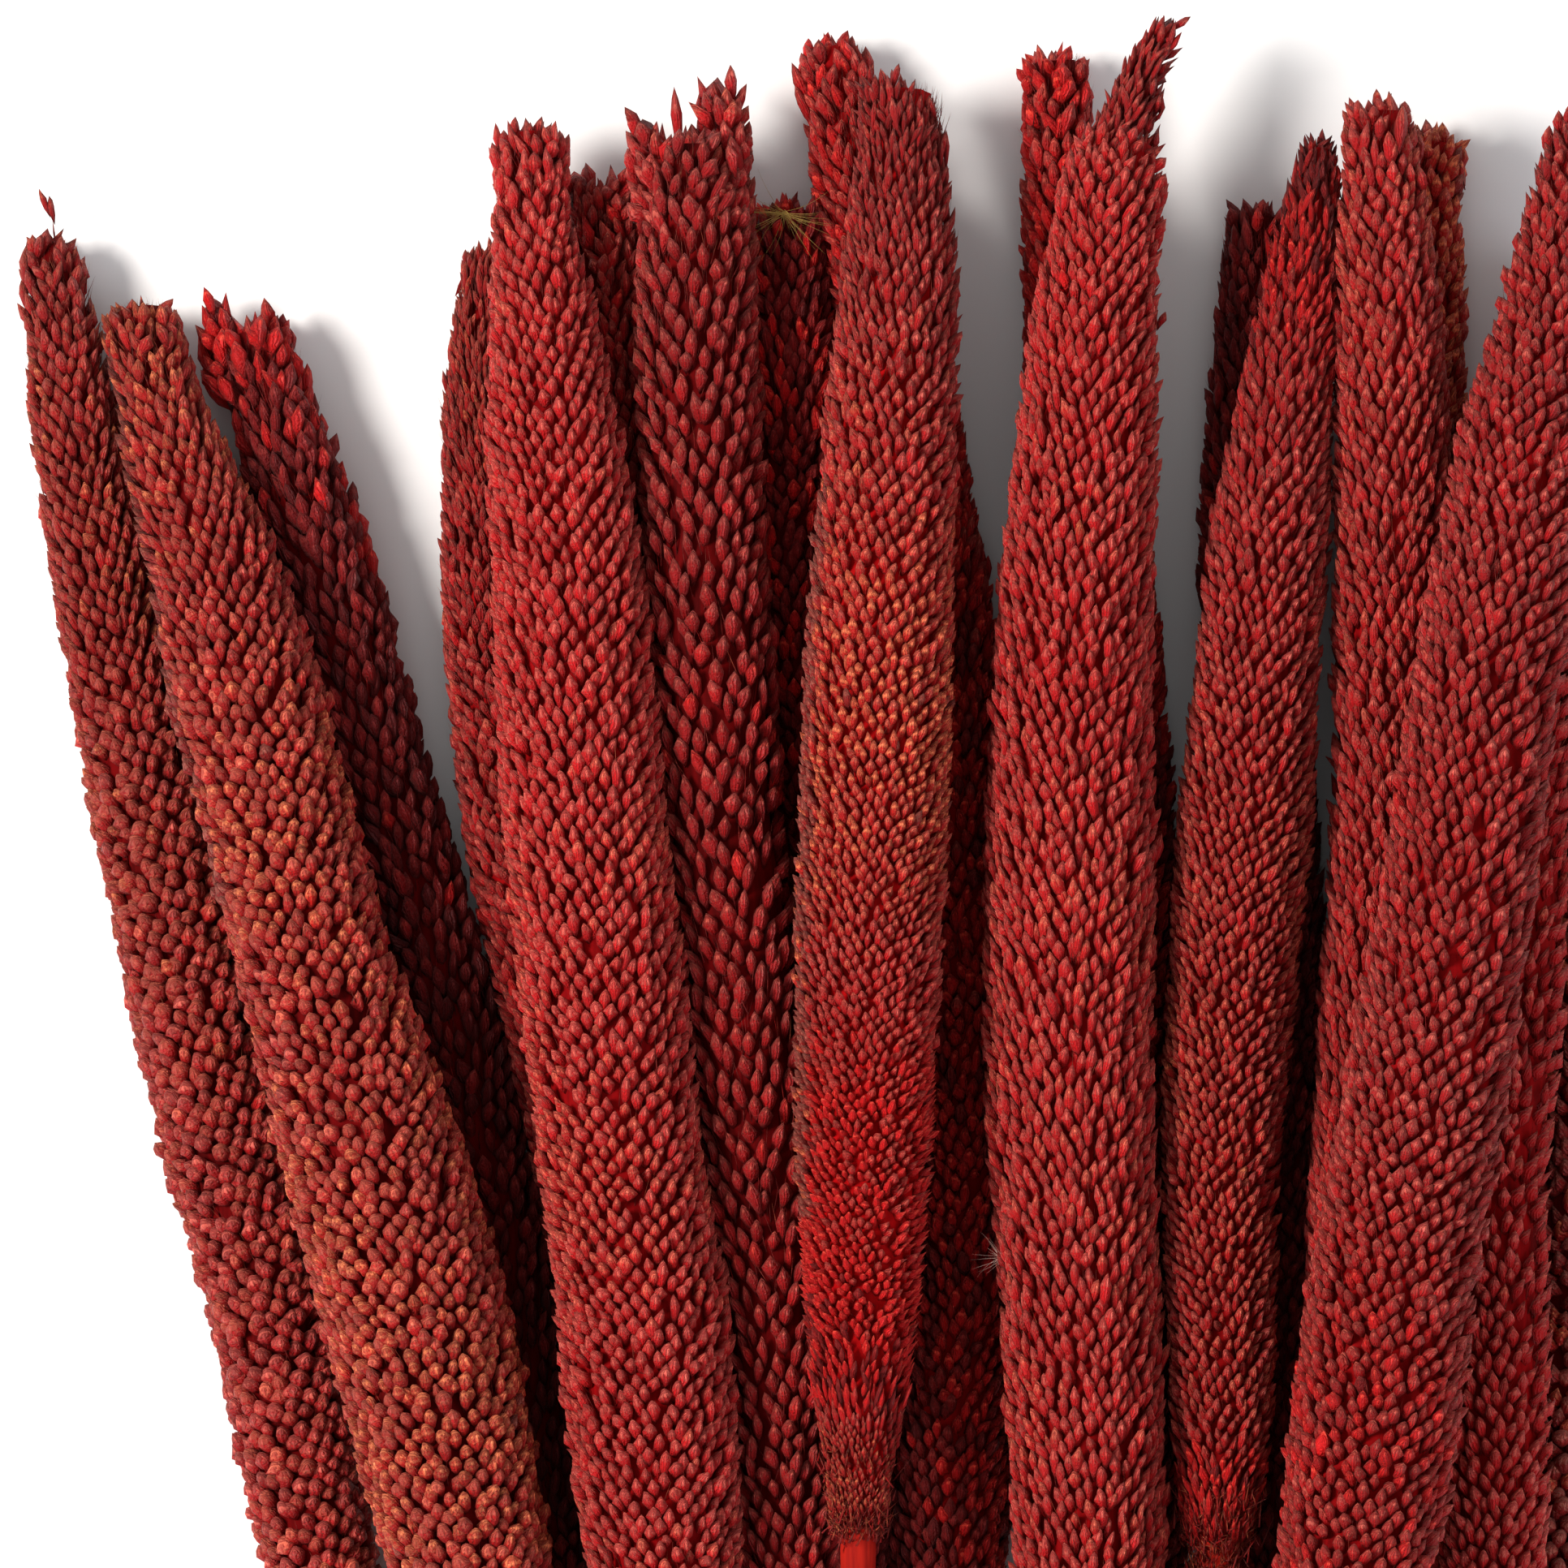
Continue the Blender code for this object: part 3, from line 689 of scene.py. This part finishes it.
def patchy(at, turn, rng):
    """A slow change of tone over a head, as dye takes unevenly."""
    value = np.zeros(len(at))
    for _ in range(PATCH_WAVES):
        waves = rng.uniform(*WAVE_RANGE)
        value += np.sin(at * waves + rng.integers(0, 3) * turn + rng.uniform(0, 6.3))
    return PATCH_VARIES * value


def moved_on(rows, distance):
    """The same spikelets, each moved along its own length."""
    rows.base = rows.base + rows.ahead * distance[:, None]
    return rows


def head_rows(axis, number, rng):
    """All the spikelets of one head, and the level end of its tip."""
    head = HEADS[number]
    start = axis.head + ABOVE_STEM

    def share_of(s):
        return (s - start) / (axis.s[-1] - start)

    def area_at(s):
        return looks_along(head.looks, share_of(s)).area * MM * MM

    at, turn = spiral(axis, start, axis.end, area_at)
    count = len(at)
    pitch = np.sqrt(area_at(at))
    uneven = PLACE_VARIES + BLUNT_VARIES * looks_along(head.looks, share_of(at)).blunt
    at = np.minimum(at + rng.normal(0, 1, count) * uneven * pitch, axis.end)
    reach = axis.at(at)[1] * rounded(axis, at, head)
    turn = turn + rng.normal(0, 1, count) * uneven * pitch / np.maximum(reach, 2 * MM)
    reach = reach * rng.normal(1.0, REACH_VARIES, count) + 0.25 * MM
    crown = np.clip((at - axis.end) / CROWN + 1, 0, 1)
    share = share_of(at)
    rows = standing(axis, at, turn, reach, looks_along(head.looks, share), rng, 1 + CROWN_ROUGH * crown)
    rows.tone = along_stops(head.tones, share) + patchy(at, turn, rng)
    # painted light and shade along the head
    rows.light = along_stops(PAINTED_LIGHT_AND_SHADE.get(number, EVEN_LIGHT), share)
    # painted sheen: the left side, grazed by the key light, turns dull brown
    if number in PAINTED_SHEEN:
        low, high = PAINTED_SHEEN[number]
        painted_sheen = (np.sin(turn) * axis.at(at)[4][:, 0] < PAINTED_SHEEN_SIDE) & (share > low) & (share < high)
        rows.tone = np.where(painted_sheen, PAINTED_SHEEN_TONE, rows.tone)
    rows = moved_on(rows, crown * rng.uniform(*CROWN_MOVES, count) * MM)
    rows = slanted(axis, rows, crown, head.slant)
    return [rows, slanted(axis, tip_rows(axis, head, rng), 1.0, head.slant)]


def rounded(axis, at, head):
    """The share of the radius left at each distance, where a head rounds off to its end."""
    t = np.clip((at - axis.end) / (head.rounding * MM) + 1, 0, 1)
    return head.end + (1 - head.end) * np.sqrt(1 - t**2)


def tip_rows(axis, head, rng):
    """The spikelets that close the level end of a tip."""
    radius = float(axis.at(np.array([axis.end]))[1][0]) * head.end
    look = LOOKS[head.looks[-1][0]]
    count = max(int(pi * radius**2 / (TIP_CROWDED * look.area * MM * MM)), 3)
    order = np.arange(count) + 0.5
    share = np.sqrt(order / count)
    look = look._replace(lean=TIP_LEAN + share * look.lean)
    at = np.full(count, axis.end)
    rows = standing(axis, at, order * GOLDEN, radius * share * TIP_REACH, look, rng, TIP_ROUGH)
    rows.tone = np.full(count, head.tones[-1][0])
    return moved_on(rows, (TIP_DOME * (1 - share**2) + rng.uniform(*TIP_MOVES, count)) * MM)


def slanted(axis, rows, crown, slant):
    """The tip's spikelets moved on at the left and back at the right."""
    aside = rows.base[:, 0] - axis.points[-1, 0]
    return moved_on(rows, -(slant * aside * crown))


def lobe_rows(axis, line, radii, look, tone, rng):
    """A small shoot of spikelets that starts inside a head."""
    line = np.array(line) * MM
    points = np.column_stack([line, axis.level(line[:, 1])])
    order = np.arange(len(points))
    steps = np.linspace(0, order[-1], SHOOT_POINTS)
    shoot = Axis(points_at(steps, order, points), np.interp(steps, order, radii) * MM)
    at, turn = spiral(shoot, 0, shoot.end, lambda s: np.full(len(s), look.area * MM * MM))
    count = len(at)
    rows = standing(shoot, at, turn, shoot.at(at)[1], look, rng, SHOOT_ROUGH)
    rows.tone = np.full(count, tone)
    return [moved_on(rows, rng.uniform(0, SHOOT_MOVES, count) * MM), core_rows(shoot)]


def core_rows(shoot):
    """The stem inside a shoot, as a few long spindles."""
    at = np.arange(0, shoot.end - CORE_STEP, CORE_STEP)
    middle, radius, ahead, up, _ = shoot.at(at)
    size = np.minimum(CORE_LENGTH, shoot.end - at + 1.5 * MM)
    return loose_rows(middle - ahead * 2 * MM, ahead, up, size, radius * CORE_WIDTH, 1, CORE_TONE)


def loose_rows(base, ahead, top, length, width, depth, tone):
    """Spikelets that belong to no head's rows; their depth is a share of their width."""
    none = np.zeros(len(base))
    return Rows(
        base=base, ahead=ahead, top=top, length=length, width=width,
        depth=depth * width, bend=none, tone=none + tone, blunt=none,
    )


def stray_rows(axis, spots, tone, rng):
    """Single spikelets that stand out beside a head."""
    starts, stops, width = (np.array(part) * MM for part in zip(*spots))
    base = np.column_stack([starts, axis.level(starts[:, 1]) + STRAY_ABOVE])
    line = np.column_stack([stops - starts, np.full(len(width), STRAY_RISE)])
    ahead = unit(line)
    top = unit(sideways(np.array([0.1, 0.0, 1.0]), ahead))
    rows = loose_rows(base, ahead, top, np.linalg.norm(line, axis=1), width, 0.8, tone)
    rows.bend = rng.normal(0.0, 0.08, len(width))
    return rows


def hair_rows(axis, head, rng):
    """Fine bristles among the spikelets, thickest at the tip."""
    share = rng.random(HAIRS)
    share[:TIP_HAIRS] = 1 - TIP_PART * rng.random(TIP_HAIRS) ** 1.5
    at = axis.head + share * (axis.end - axis.head)
    turn = rng.uniform(0, 2 * pi, HAIRS)
    look = looks_along(head.looks, share)
    reach = axis.at(at)[1] * rounded(axis, at, head) * rng.normal(1.0, 0.02, HAIRS) + 0.1 * MM
    length = look.length * rng.uniform(*HAIR_LENGTHS, HAIRS)
    hair = Look(HAIR_WIDTH, length, look.lean * HAIR_LEAN, None, 0)
    rows = standing(axis, at, turn, reach, hair, rng, HAIR_ROUGH)
    rows.bend = rng.normal(0, HAIR_BEND, HAIRS)
    rows.tone = along_stops(head.tones, share) + rng.normal(*HAIR_TONES, HAIRS)
    return rows


def neck_rows(axis, numbers, rng):
    """Short tangled hairs round the foot of a head, with a frill where it meets the stem."""
    number, low, high, spread = numbers

    def drawn(least, most):
        return rng.uniform(least, most, number)

    above = low + rng.random(number) ** 1.3 * (high - low)
    frill = np.arange(number) % FRILL_EVERY == 0
    at = axis.head + np.where(frill, low + drawn(0, 2.0), above) * MM
    turn = drawn(0, 2 * pi)
    reach = np.maximum(axis.at(at)[1], NECK_LEAST) + drawn(-0.2, 1.0) * spread * MM
    lean = np.where(frill, drawn(60, 130), drawn(5, 75))
    size = np.where(frill, drawn(1.2, 3.0), drawn(1.4, 3.6))
    rows = standing(axis, at, turn, reach, Look(NECK_HAIR_WIDTH, size, lean, None, 0), rng, 3.0)
    rows.bend = rng.normal(0, 0.3, number)
    rows.tone = rng.choice(NECK_TONES, number)
    # painted light against the shade among the hairs
    rows.light = np.full(number, NECK_PAINTED_LIGHT)
    return rows


def probe_of(rows):
    """A point just above the outer side of each spikelet."""
    middle = rows.base + rows.ahead * (PROBE_AT * rows.length)[:, None]
    return middle + rows.top * PROBE_ABOVE


def chosen_rows(rows, chosen):
    return Rows(**{key: value[chosen] for key, value in vars(rows).items()})


def by_sight(rows, tree, rng):
    """Spikelets with as many faces as they show: fine, plain, or plainest and only some."""
    probe = probe_of(rows)
    seen = open_to(tree, probe, ABOVE)
    low = ~seen
    low[low] = open_to(tree, probe[low], AROUND)
    hidden = ~seen & ~low & (np.arange(len(seen)) % HIDDEN_EVERY == 0)
    rows.width = np.where(hidden, HIDDEN_WIDER, 1) * rows.width
    blunt = rows.blunt > 0.5
    kinds = ((SEEN, seen & ~blunt), (BLUNT, seen & blunt), (LOW, low), (HIDDEN, hidden))
    return [copies_of(shape, chosen_rows(rows, chosen), rng) for shape, chosen in kinds]


def dressed(axis, number, tree, rng):
    """The parts of one head: its spikelets, shoots and bristles."""
    head = HEADS[number]
    last_tone = head.tones[-1][0]
    groups = head_rows(axis, number, rng)
    for parent, line, radii, look in LOBES:
        if parent == number:
            groups += lobe_rows(axis, line, radii, LOOKS[look], last_tone, rng)
    spots = [spot for parent, *spot in STRAYS if parent == number]
    if spots:
        groups.append(stray_rows(axis, spots, last_tone + STRAY_TONE, rng))
    parts = [part for rows in groups for part in by_sight(rows, tree, rng)]
    hairs = [hair_rows(axis, head, rng)]
    if number in NECKS:
        hairs.append(neck_rows(axis, NECKS[number], rng))
    for rows in hairs:
        kept = np.arange(len(rows.length)) % HAIRS_EVERY == 0
        seen = open_to(tree, probe_of(rows), ABOVE) | kept
        parts.append(copies_of(HAIR, chosen_rows(rows, seen), rng, PALE_FROM))
    return parts


def tube(points, radii, ups, sides):
    """A closed tube along a line: its places and triangles."""
    ahead = unit(np.gradient(points, axis=0))
    ups = unit(sideways(ups, ahead))
    aside = np.cross(ahead, ups)
    turns = (2 * pi * np.arange(sides) / sides)[None, :, None]
    ring = ups[:, None, :] * np.cos(turns) + aside[:, None, :] * np.sin(turns)
    places = (points[:, None, :] + ring * radii[:, None, None]).reshape(-1, 3)
    first = len(places)
    last = first - sides
    faces = []
    for row in range(0, last, sides):
        for k in range(sides):
            a = row + k
            b = row + (k + 1) % sides
            faces.append((a, b + sides, b))
            faces.append((a, a + sides, b + sides))
    for k in range(sides):
        after = (k + 1) % sides
        faces.append((first, k, after))
        faces.append((first + 1, last + after, last + k))
    return np.concatenate([places, points[:1], points[-1:]]), np.array(faces)


def stalk_of(axis, head, name, materials):
    """The stem, with its joint and its cut end, and the bed that the spikelets stand on."""
    below = np.arange(0, axis.head - 2 * MM, STEM_STEP)
    inside = np.arange(axis.head, axis.end - 2 * MM, BED_STEP)
    s = np.concatenate([below, inside, [axis.end - 1.5 * MM]])
    middle, radius, _, up, _ = axis.at(s)
    share = np.clip((s - axis.head) / (axis.s[-1] - axis.head), 0, 1)
    look = looks_along(head.looks, share)
    sunk = SUNK * look.length * MM * np.sin(np.radians(look.lean))
    bed = np.maximum(radius - sunk - BED_UNDER, BED_LEAST) * rounded(axis, s, head)
    joint = np.exp(-(((s - JOINT_AT) / JOINT) ** 2))
    flare = np.minimum(FLARE * np.exp((s - axis.head) / FLARE_OVER), FLARE)
    radii = np.where(s < axis.head, STEM * (STEM_SHARE + JOINT_SWELLS * joint + flare), bed)
    made = joined(name, [tube(middle, radii, up, STALK_SIDES)], materials)
    along = np.repeat(np.where(s[:-1] >= axis.head, 1, 0), 2 * STALK_SIDES)
    ends = np.tile([2, 1], STALK_SIDES)
    made.data.polygons.foreach_set("material_index", np.concatenate([along, ends]).astype(np.int32))
    return made


def new_material(name):
    """A material, and a short call for its node tree: it makes a node and links its sockets."""
    material = bpy.data.materials.new(name)
    material.use_nodes = True
    tree = material.node_tree
    tree.nodes.clear()

    def make(kind, inputs=None, **settings):
        node = tree.nodes.new("ShaderNode" + kind)
        for key, value in settings.items():
            setattr(node, key, value)
        for key, value in (inputs or {}).items():
            if isinstance(value, bpy.types.NodeSocket):
                tree.links.new(value, node.inputs[key])
            else:
                node.inputs[key].default_value = value
        return node

    return material, make


def shaded(make, inputs):
    """Ends a node tree with its shader."""
    shader = make("BsdfPrincipled", inputs)
    make("OutputMaterial", {0: shader.outputs[0]})


def ramp(make, value, stops, kind="LINEAR"):
    """A colour ramp over a value."""
    node = make("ValToRGB", {0: value})
    band = node.color_ramp
    band.interpolation = kind
    while len(band.elements) < len(stops):
        band.elements.new(0.5)
    for element, (place, colour) in zip(band.elements, stops):
        element.position = place
        element.color = (*colour, 1)
    return node.outputs[0]


def maths(make, operation, first, second=0.0, third=0.0):
    inputs = {0: first, 1: second, 2: third}
    return make("Math", inputs, operation=operation).outputs[0]


def times(make, first, second, more=None):
    """The product of two values, and what is added to it."""
    if more is None:
        return maths(make, "MULTIPLY", first, second)
    return maths(make, "MULTIPLY_ADD", first, second, more)


def mixed(make, factor, first, second, blend="MIX"):
    inputs = {0: factor, 6: first, 7: second}
    return make("Mix", inputs, data_type="RGBA", blend_type=blend).outputs[2]


def noise(make, at, scale, detail, rough=0.5):
    inputs = {"Vector": at, "Scale": scale, "Detail": detail, "Roughness": rough}
    return make("TexNoise", inputs).outputs[0]


def bumped(make, height, strength, distance):
    inputs = {"Strength": strength, "Distance": distance, "Height": height}
    return make("Bump", inputs).outputs[0]


def between(make, value, ends):
    """How far a value has come from one end to the other, from 0 to 1, smoothly."""
    inputs = {0: value, 1: ends[0], 2: ends[1], 3: 0.0, 4: 1.0}
    return make("MapRange", inputs, interpolation_type="SMOOTHSTEP").outputs[0]


def cell_of(make, value):
    """The middle of a cell of the map along one axis, and the place inside that cell."""
    value = times(make, value, float(CELLS))
    middle = maths(make, "ADD", maths(make, "FLOOR", value), 0.5)
    return maths(make, "DIVIDE", middle, float(CELLS)), maths(make, "FRACT", value)


def grain_material(name):
    """Dyed spikelets: crimson at the foot, muted on the belly, brownish at the point, with painted
    highlights and painted light and shade.
    """
    material, make = new_material(name)
    uv = make("UVMap", uv_map="OFBake").outputs[0]
    parts = make("SeparateXYZ", {0: uv})
    tone, across = cell_of(make, parts.outputs[0])
    light, along = cell_of(make, parts.outputs[1])
    foot, belly, point = (
        ramp(make, tone, [(k / CELLS, colours[part]) for k, colours in enumerate(PALETTE)], "CONSTANT")
        for part in range(3)
    )
    blotch = noise(make, uv, 84.0, 3.0, 0.6)
    fine = noise(make, uv, 190.0, 2.0, 0.6)
    edge = times(make, blotch, 1.1, maths(make, "SUBTRACT", along, 0.55))
    colour = mixed(make, between(make, edge, BELLY), foot, belly)
    colour = mixed(make, between(make, edge, POINT), colour, point)
    vein_at = times(make, across, VEINS, times(make, blotch, 9.0))
    vein = times(make, maths(make, "SINE", vein_at), 0.5, 0.5)
    colour = mixed(make, times(make, vein, 0.35), colour, foot)
    speck = between(make, fine, SPECKS)
    colour = mixed(make, times(make, speck, 0.4), colour, SPECK_COLOUR)
    # painted highlights: paler spots near the point
    coarse = between(make, noise(make, uv, 44.0, 1.0), GLINTS)
    glint = times(make, coarse, between(make, along, GLINT_PART))
    pale = mixed(make, 1.0, point, (GLINT, GLINT, GLINT, 1), "MULTIPLY")
    colour = mixed(make, times(make, glint, 0.8), colour, pale)
    # painted light and shade: the colour scaled by the lightness of its row
    level = times(make, light, *PAINTED_LIGHT_SCALE)
    painted_light_grey = make("CombineColor", {0: level, 1: level, 2: level}).outputs[0]
    height = times(make, vein, 0.35, times(make, blotch, 1.8))
    shaded(make, {
        "Base Color": mixed(make, 1.0, colour, painted_light_grey, "MULTIPLY"),
        "Roughness": make("MapRange", {0: fine, 3: 0.40, 4: 0.70}).outputs[0],
        "Normal": bumped(make, height, 1.0, 0.4 * MM), "Specular IOR Level": 0.28,
        "Sheen Weight": 0.03, "Sheen Roughness": 0.5, "Sheen Tint": (1.0, 0.45, 0.38, 1),
    })
    return material


def fibre_material(name):
    """Plant fibre with streaks: dyed stem, bed of bristles, pith or twine."""
    dark, light, stretch, shine = FIBRES[name]
    material, make = new_material(name)
    place = make("TexCoord").outputs["Object"]
    streak = noise(make, make("Mapping", {0: place, 3: stretch}).outputs[0], 1.0, 4.0)
    patch = noise(make, place, 60.0, 2.0)
    value = times(make, patch, 0.5, times(make, streak, 0.7))
    shaded(make, {
        "Base Color": ramp(make, value, ((0.38, dark), (0.78, light))), "Roughness": 0.8,
        "Normal": bumped(make, streak, 0.4, 0.2 * MM), "Specular IOR Level": shine,
    })
    return material


def resampled(points):
    """The same line with even steps."""
    points = np.array(points, float)
    s = lengths_along(points)
    return points_at(np.linspace(0, s[-1], max(int(s[-1] / STEP), 3)), s, points)


def softened(points):
    """The same line with its corners eased."""
    for _ in range(SOFTENINGS):
        inner = (points[:-2] + 2 * points[1:-1] + points[2:]) / 4
        points = np.concatenate([points[:1], inner, points[-1:]])
    return points


def wrap_line():
    """The middle of the twine round the stems, from the knot and back to it."""
    outside = STEM + GAP + TWINE
    corners = []
    for corner in range(6):
        angle = radians(60 * corner)
        for part in CORNER_TURNS:
            turn = angle + radians(part)
            x = 2 * PITCH * cos(angle) + outside * cos(turn)
            z = 2 * PITCH * sin(angle) + outside * sin(turn)
            corners.append((x, 0, z))
    count = TURNS * len(corners) + 1
    points = resampled([corners[(FIRST_CORNER + k) % len(corners)] for k in range(count)])
    points[:, 1] = np.linspace(-0.5, 0.5, len(points)) * TURNS * TWINE_PITCH
    return points


def end_line(side, knot):
    """A short end of the twine, from the knot out over the stems."""
    part = np.linspace(0, 1, 24)
    top = 2 * RANK + STEM
    x = knot[0] + side * END_LENGTH * 0.62 * part
    y = -END_LENGTH * (0.12 + 0.75 * part**1.4)
    z = top + KNOT * 0.9 + GAP + 2.2 * MM * np.sin(np.pi * part) - 1.2 * MM * part
    return np.concatenate([knot[None, :], np.stack([x, y, z], axis=1)])


def knot_lines(start, stop):
    """The twine that crosses and winds in the knot."""
    knot = np.array([start[0], 0, start[2] + 1.25 * KNOT])
    lines = []
    for spot, side in ((start, -1), (stop, 1)):
        over = (knot[0], side * 1.4 * TWINE, start[2] + 1.5 * TWINE)
        lines.append([spot, over, knot])
    turn = np.linspace(0, 2 * pi * WINDING_TURNS, WINDING_POINTS)
    radius = 0.55 * KNOT
    lines.append(np.stack([
        knot[0] + np.linspace(-0.55, 0.55, WINDING_POINTS) * KNOT,
        radius * np.cos(turn) * 1.05,
        knot[2] + radius * np.sin(turn) * 0.85,
    ], axis=1))
    return knot, lines


def carried_frames(points):
    """Two directions across a line that turn with it and no more."""
    ahead = unit(np.gradient(points, axis=0))
    across = [unit(np.cross(ahead[0], (0.3, 0.2, 0.9)))]
    for direction in ahead[1:]:
        across.append(unit(across[-1] - direction * np.dot(across[-1], direction)))
    across = np.array(across)
    return across, np.cross(ahead, across)


def strands_on(line, fray=0):
    """The strands of a twine that follows a line, twisted about each other."""
    line = resampled(softened(resampled(line)))
    first, second = carried_frames(line)
    s = np.arange(len(line)) * STEP
    off = STRAND_OFF * (1 + fray * np.clip((s - s[-1] + FRAYED) / FRAYED, 0, 1) ** 2)
    parts = []
    for k in range(STRANDS):
        turn = 2 * pi * (s / TWIST + k / STRANDS)
        across = first * np.cos(turn)[:, None] + second * np.sin(turn)[:, None]
        parts.append(tube(line + across * off[:, None], np.full(len(line), STRAND), across, STRAND_SIDES))
    return parts


def fuzz_on(line, number, length, rng):
    """Loose fibres that stand off a line."""
    first, second = carried_frames(line)
    picked = rng.integers(1, len(line) - 1, number)
    turn = rng.uniform(0, 2 * pi, number)
    out = first[picked] * np.cos(turn)[:, None] + second[picked] * np.sin(turn)[:, None]
    ahead = unit(np.gradient(line, axis=0))[picked] * rng.choice([-1, 1], number)[:, None]
    direction = unit(out * rng.uniform(0.35, 1.0, number)[:, None] + ahead)
    base = line[picked] + out * TWINE * 0.7
    tip = base + direction * (rng.uniform(0.6, 1.4, number) * length)[:, None]
    side = unit(np.cross(direction, out))
    normal = np.cross(side, direction)
    rim = [base + FIBRE * (a * side + b * normal) for a, b in HAIR_RIM[:3]]
    places = np.stack([*rim, tip], axis=1)
    faces = HAIR_FACES + len(HAIR_RIM) * np.arange(number)[:, None, None]
    return places.reshape(-1, 3), faces.reshape(-1, 3)


def tie_piece(material, rng):
    """The twine wound round the stems, its knot and its two frayed ends."""
    wrap = wrap_line()
    knot, crossing = knot_lines(wrap[0], wrap[-1])
    parts = []
    for line in [wrap] + crossing:
        parts += strands_on(line)
    fuzzy = [wrap] + [resampled(line) for line in crossing]
    for side in (-1, 1):
        line = end_line(side, knot)
        parts += strands_on(line, FRAY)
        fuzzy.append(resampled(line))
        parts.append(fuzz_on(fuzzy[-1][-6:], END_FIBRES, FIBRE_LENGTHS[1], rng))
    for line in fuzzy:
        parts.append(fuzz_on(line, 2 * len(line), FIBRE_LENGTHS[0], rng))
    made = joined("twine_tie", parts, [material])
    move_corners(made.data, corners_of(made.data) + TIE_MIDDLE)
    return made


def bristle_line(middle, longest, way, rng):
    """A soft bristle that spreads from a tuft's middle and bends down to its point."""
    turn = radians(rng.normal(way, TUFT_SPREAD))
    rise = rng.uniform(-0.2, 0.4)
    flat = cos(rise)
    direction = np.array([cos(turn) * flat, sin(turn) * flat, sin(rise)])
    length = longest * rng.uniform(0.25, 1.0) * MM
    t = np.linspace(0, 1, BRISTLE_POINTS)[:, None]
    start = np.array(middle) * MM + rng.normal(0, 0.25, 3) * MM
    aside = np.cross(direction, (0, 0, 1)) * rng.normal(0, 0.22) * length
    line = start + direction * t * length + aside * t**2
    line[:, 2] -= rng.uniform(0.5, 3.0) * MM * t[:, 0] ** 2
    return line


def tuft_piece(kind, material, rng):
    """Long soft bristles that spread from one point."""
    middle, number, longest, ways = TUFTS[kind]
    radii = np.linspace(*BRISTLE_RADII, BRISTLE_POINTS)
    ups = np.tile((0.1, 0.2, 1.0), (BRISTLE_POINTS, 1))
    lines = [bristle_line(middle, longest, ways[k % 2], rng) for k in range(number)]
    return joined("bristles_" + kind, [tube(line, radii, ups, 3) for line in lines], [material])


def floor_material():
    material, make = new_material("pale_floor")
    shaded(make, {"Base Color": (0.9, 0.9, 0.9, 1), "Roughness": 0.9})
    return material


def add_lamp(name, place, size, power, colour):
    data = bpy.data.lights.new(name, "AREA")
    data.shape = "DISK"
    data.size = size
    data.energy = power
    data.color = colour
    light = linked(name, data)
    light.location = place
    aim = Vector(LAMP_TARGET) - Vector(place)
    light.rotation_euler = aim.to_track_quat("-Z", "Y").to_euler()


def add_camera():
    data = bpy.data.cameras.new("camera")
    data.lens = data.sensor_width * CAMERA_HEIGHT / CROP
    data.clip_end = 10
    camera = linked("camera", data)
    x, y, z = CROP_MIDDLE
    camera.location = (x, y, z + CAMERA_HEIGHT)
    bpy.context.scene.camera = camera


def add_studio():
    """A pale floor and soft light from the left, with a weaker light from the right."""
    mesh = bpy.data.meshes.new("floor")
    corners = [(x * FLOOR_HALF, y * FLOOR_HALF, 0) for x, y in ((-1, -1), (1, -1), (1, 1), (-1, 1))]
    mesh.from_pydata(corners, [], [(0, 1, 2, 3)])
    floor = linked("floor", mesh)
    mesh.materials.append(floor_material())
    for name, numbers in LAMPS.items():
        add_lamp(name, *numbers)
    world = bpy.data.worlds.new("studio")
    world.use_nodes = True
    bpy.context.scene.world = world
    background = world.node_tree.nodes["Background"]
    background.inputs[0].default_value = (1, 1, 1, 1)
    background.inputs[1].default_value = SKY_LIGHT
    bpy.context.scene.view_settings.view_transform = "Standard"


def placed(piece, node):
    """A finished piece: it lies on the floor, rides on the bunch and stands for its solid."""
    places = corners_of(piece.data)
    places[:, 2] = np.maximum(places[:, 2], LOWEST)
    move_corners(piece.data, places)
    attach(piece, "root")
    if node:
        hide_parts(node)


def main():
    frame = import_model()
    nodes = frame["nodes"]
    tree = tree_of(nodes.values())
    grain = grain_material("dyed_grain")
    fibres = {name: fibre_material(name) for name in FIBRES}
    for number, head in HEADS.items():
        label = f"{number:02d}"
        name = "spike_" + label
        rng = np.random.default_rng(SEED + number)
        axis = axis_of(nodes[name].data, number)
        placed(joined("spikelets_" + label, dressed(axis, number, tree, rng), [grain]), name)
        inside = [fibres[kind] for kind in ("dyed_stem", head.bed + "_bed", "cut_pith")]
        placed(stalk_of(axis, head, "stalk_" + label, inside), name)
    rng = np.random.default_rng(SEED)
    placed(tie_piece(fibres["jute"], rng), "tie")
    for kind in TUFTS:
        placed(tuft_piece(kind, fibres[kind + "_bristle"], rng), None)
    add_studio()
    add_camera()


main()
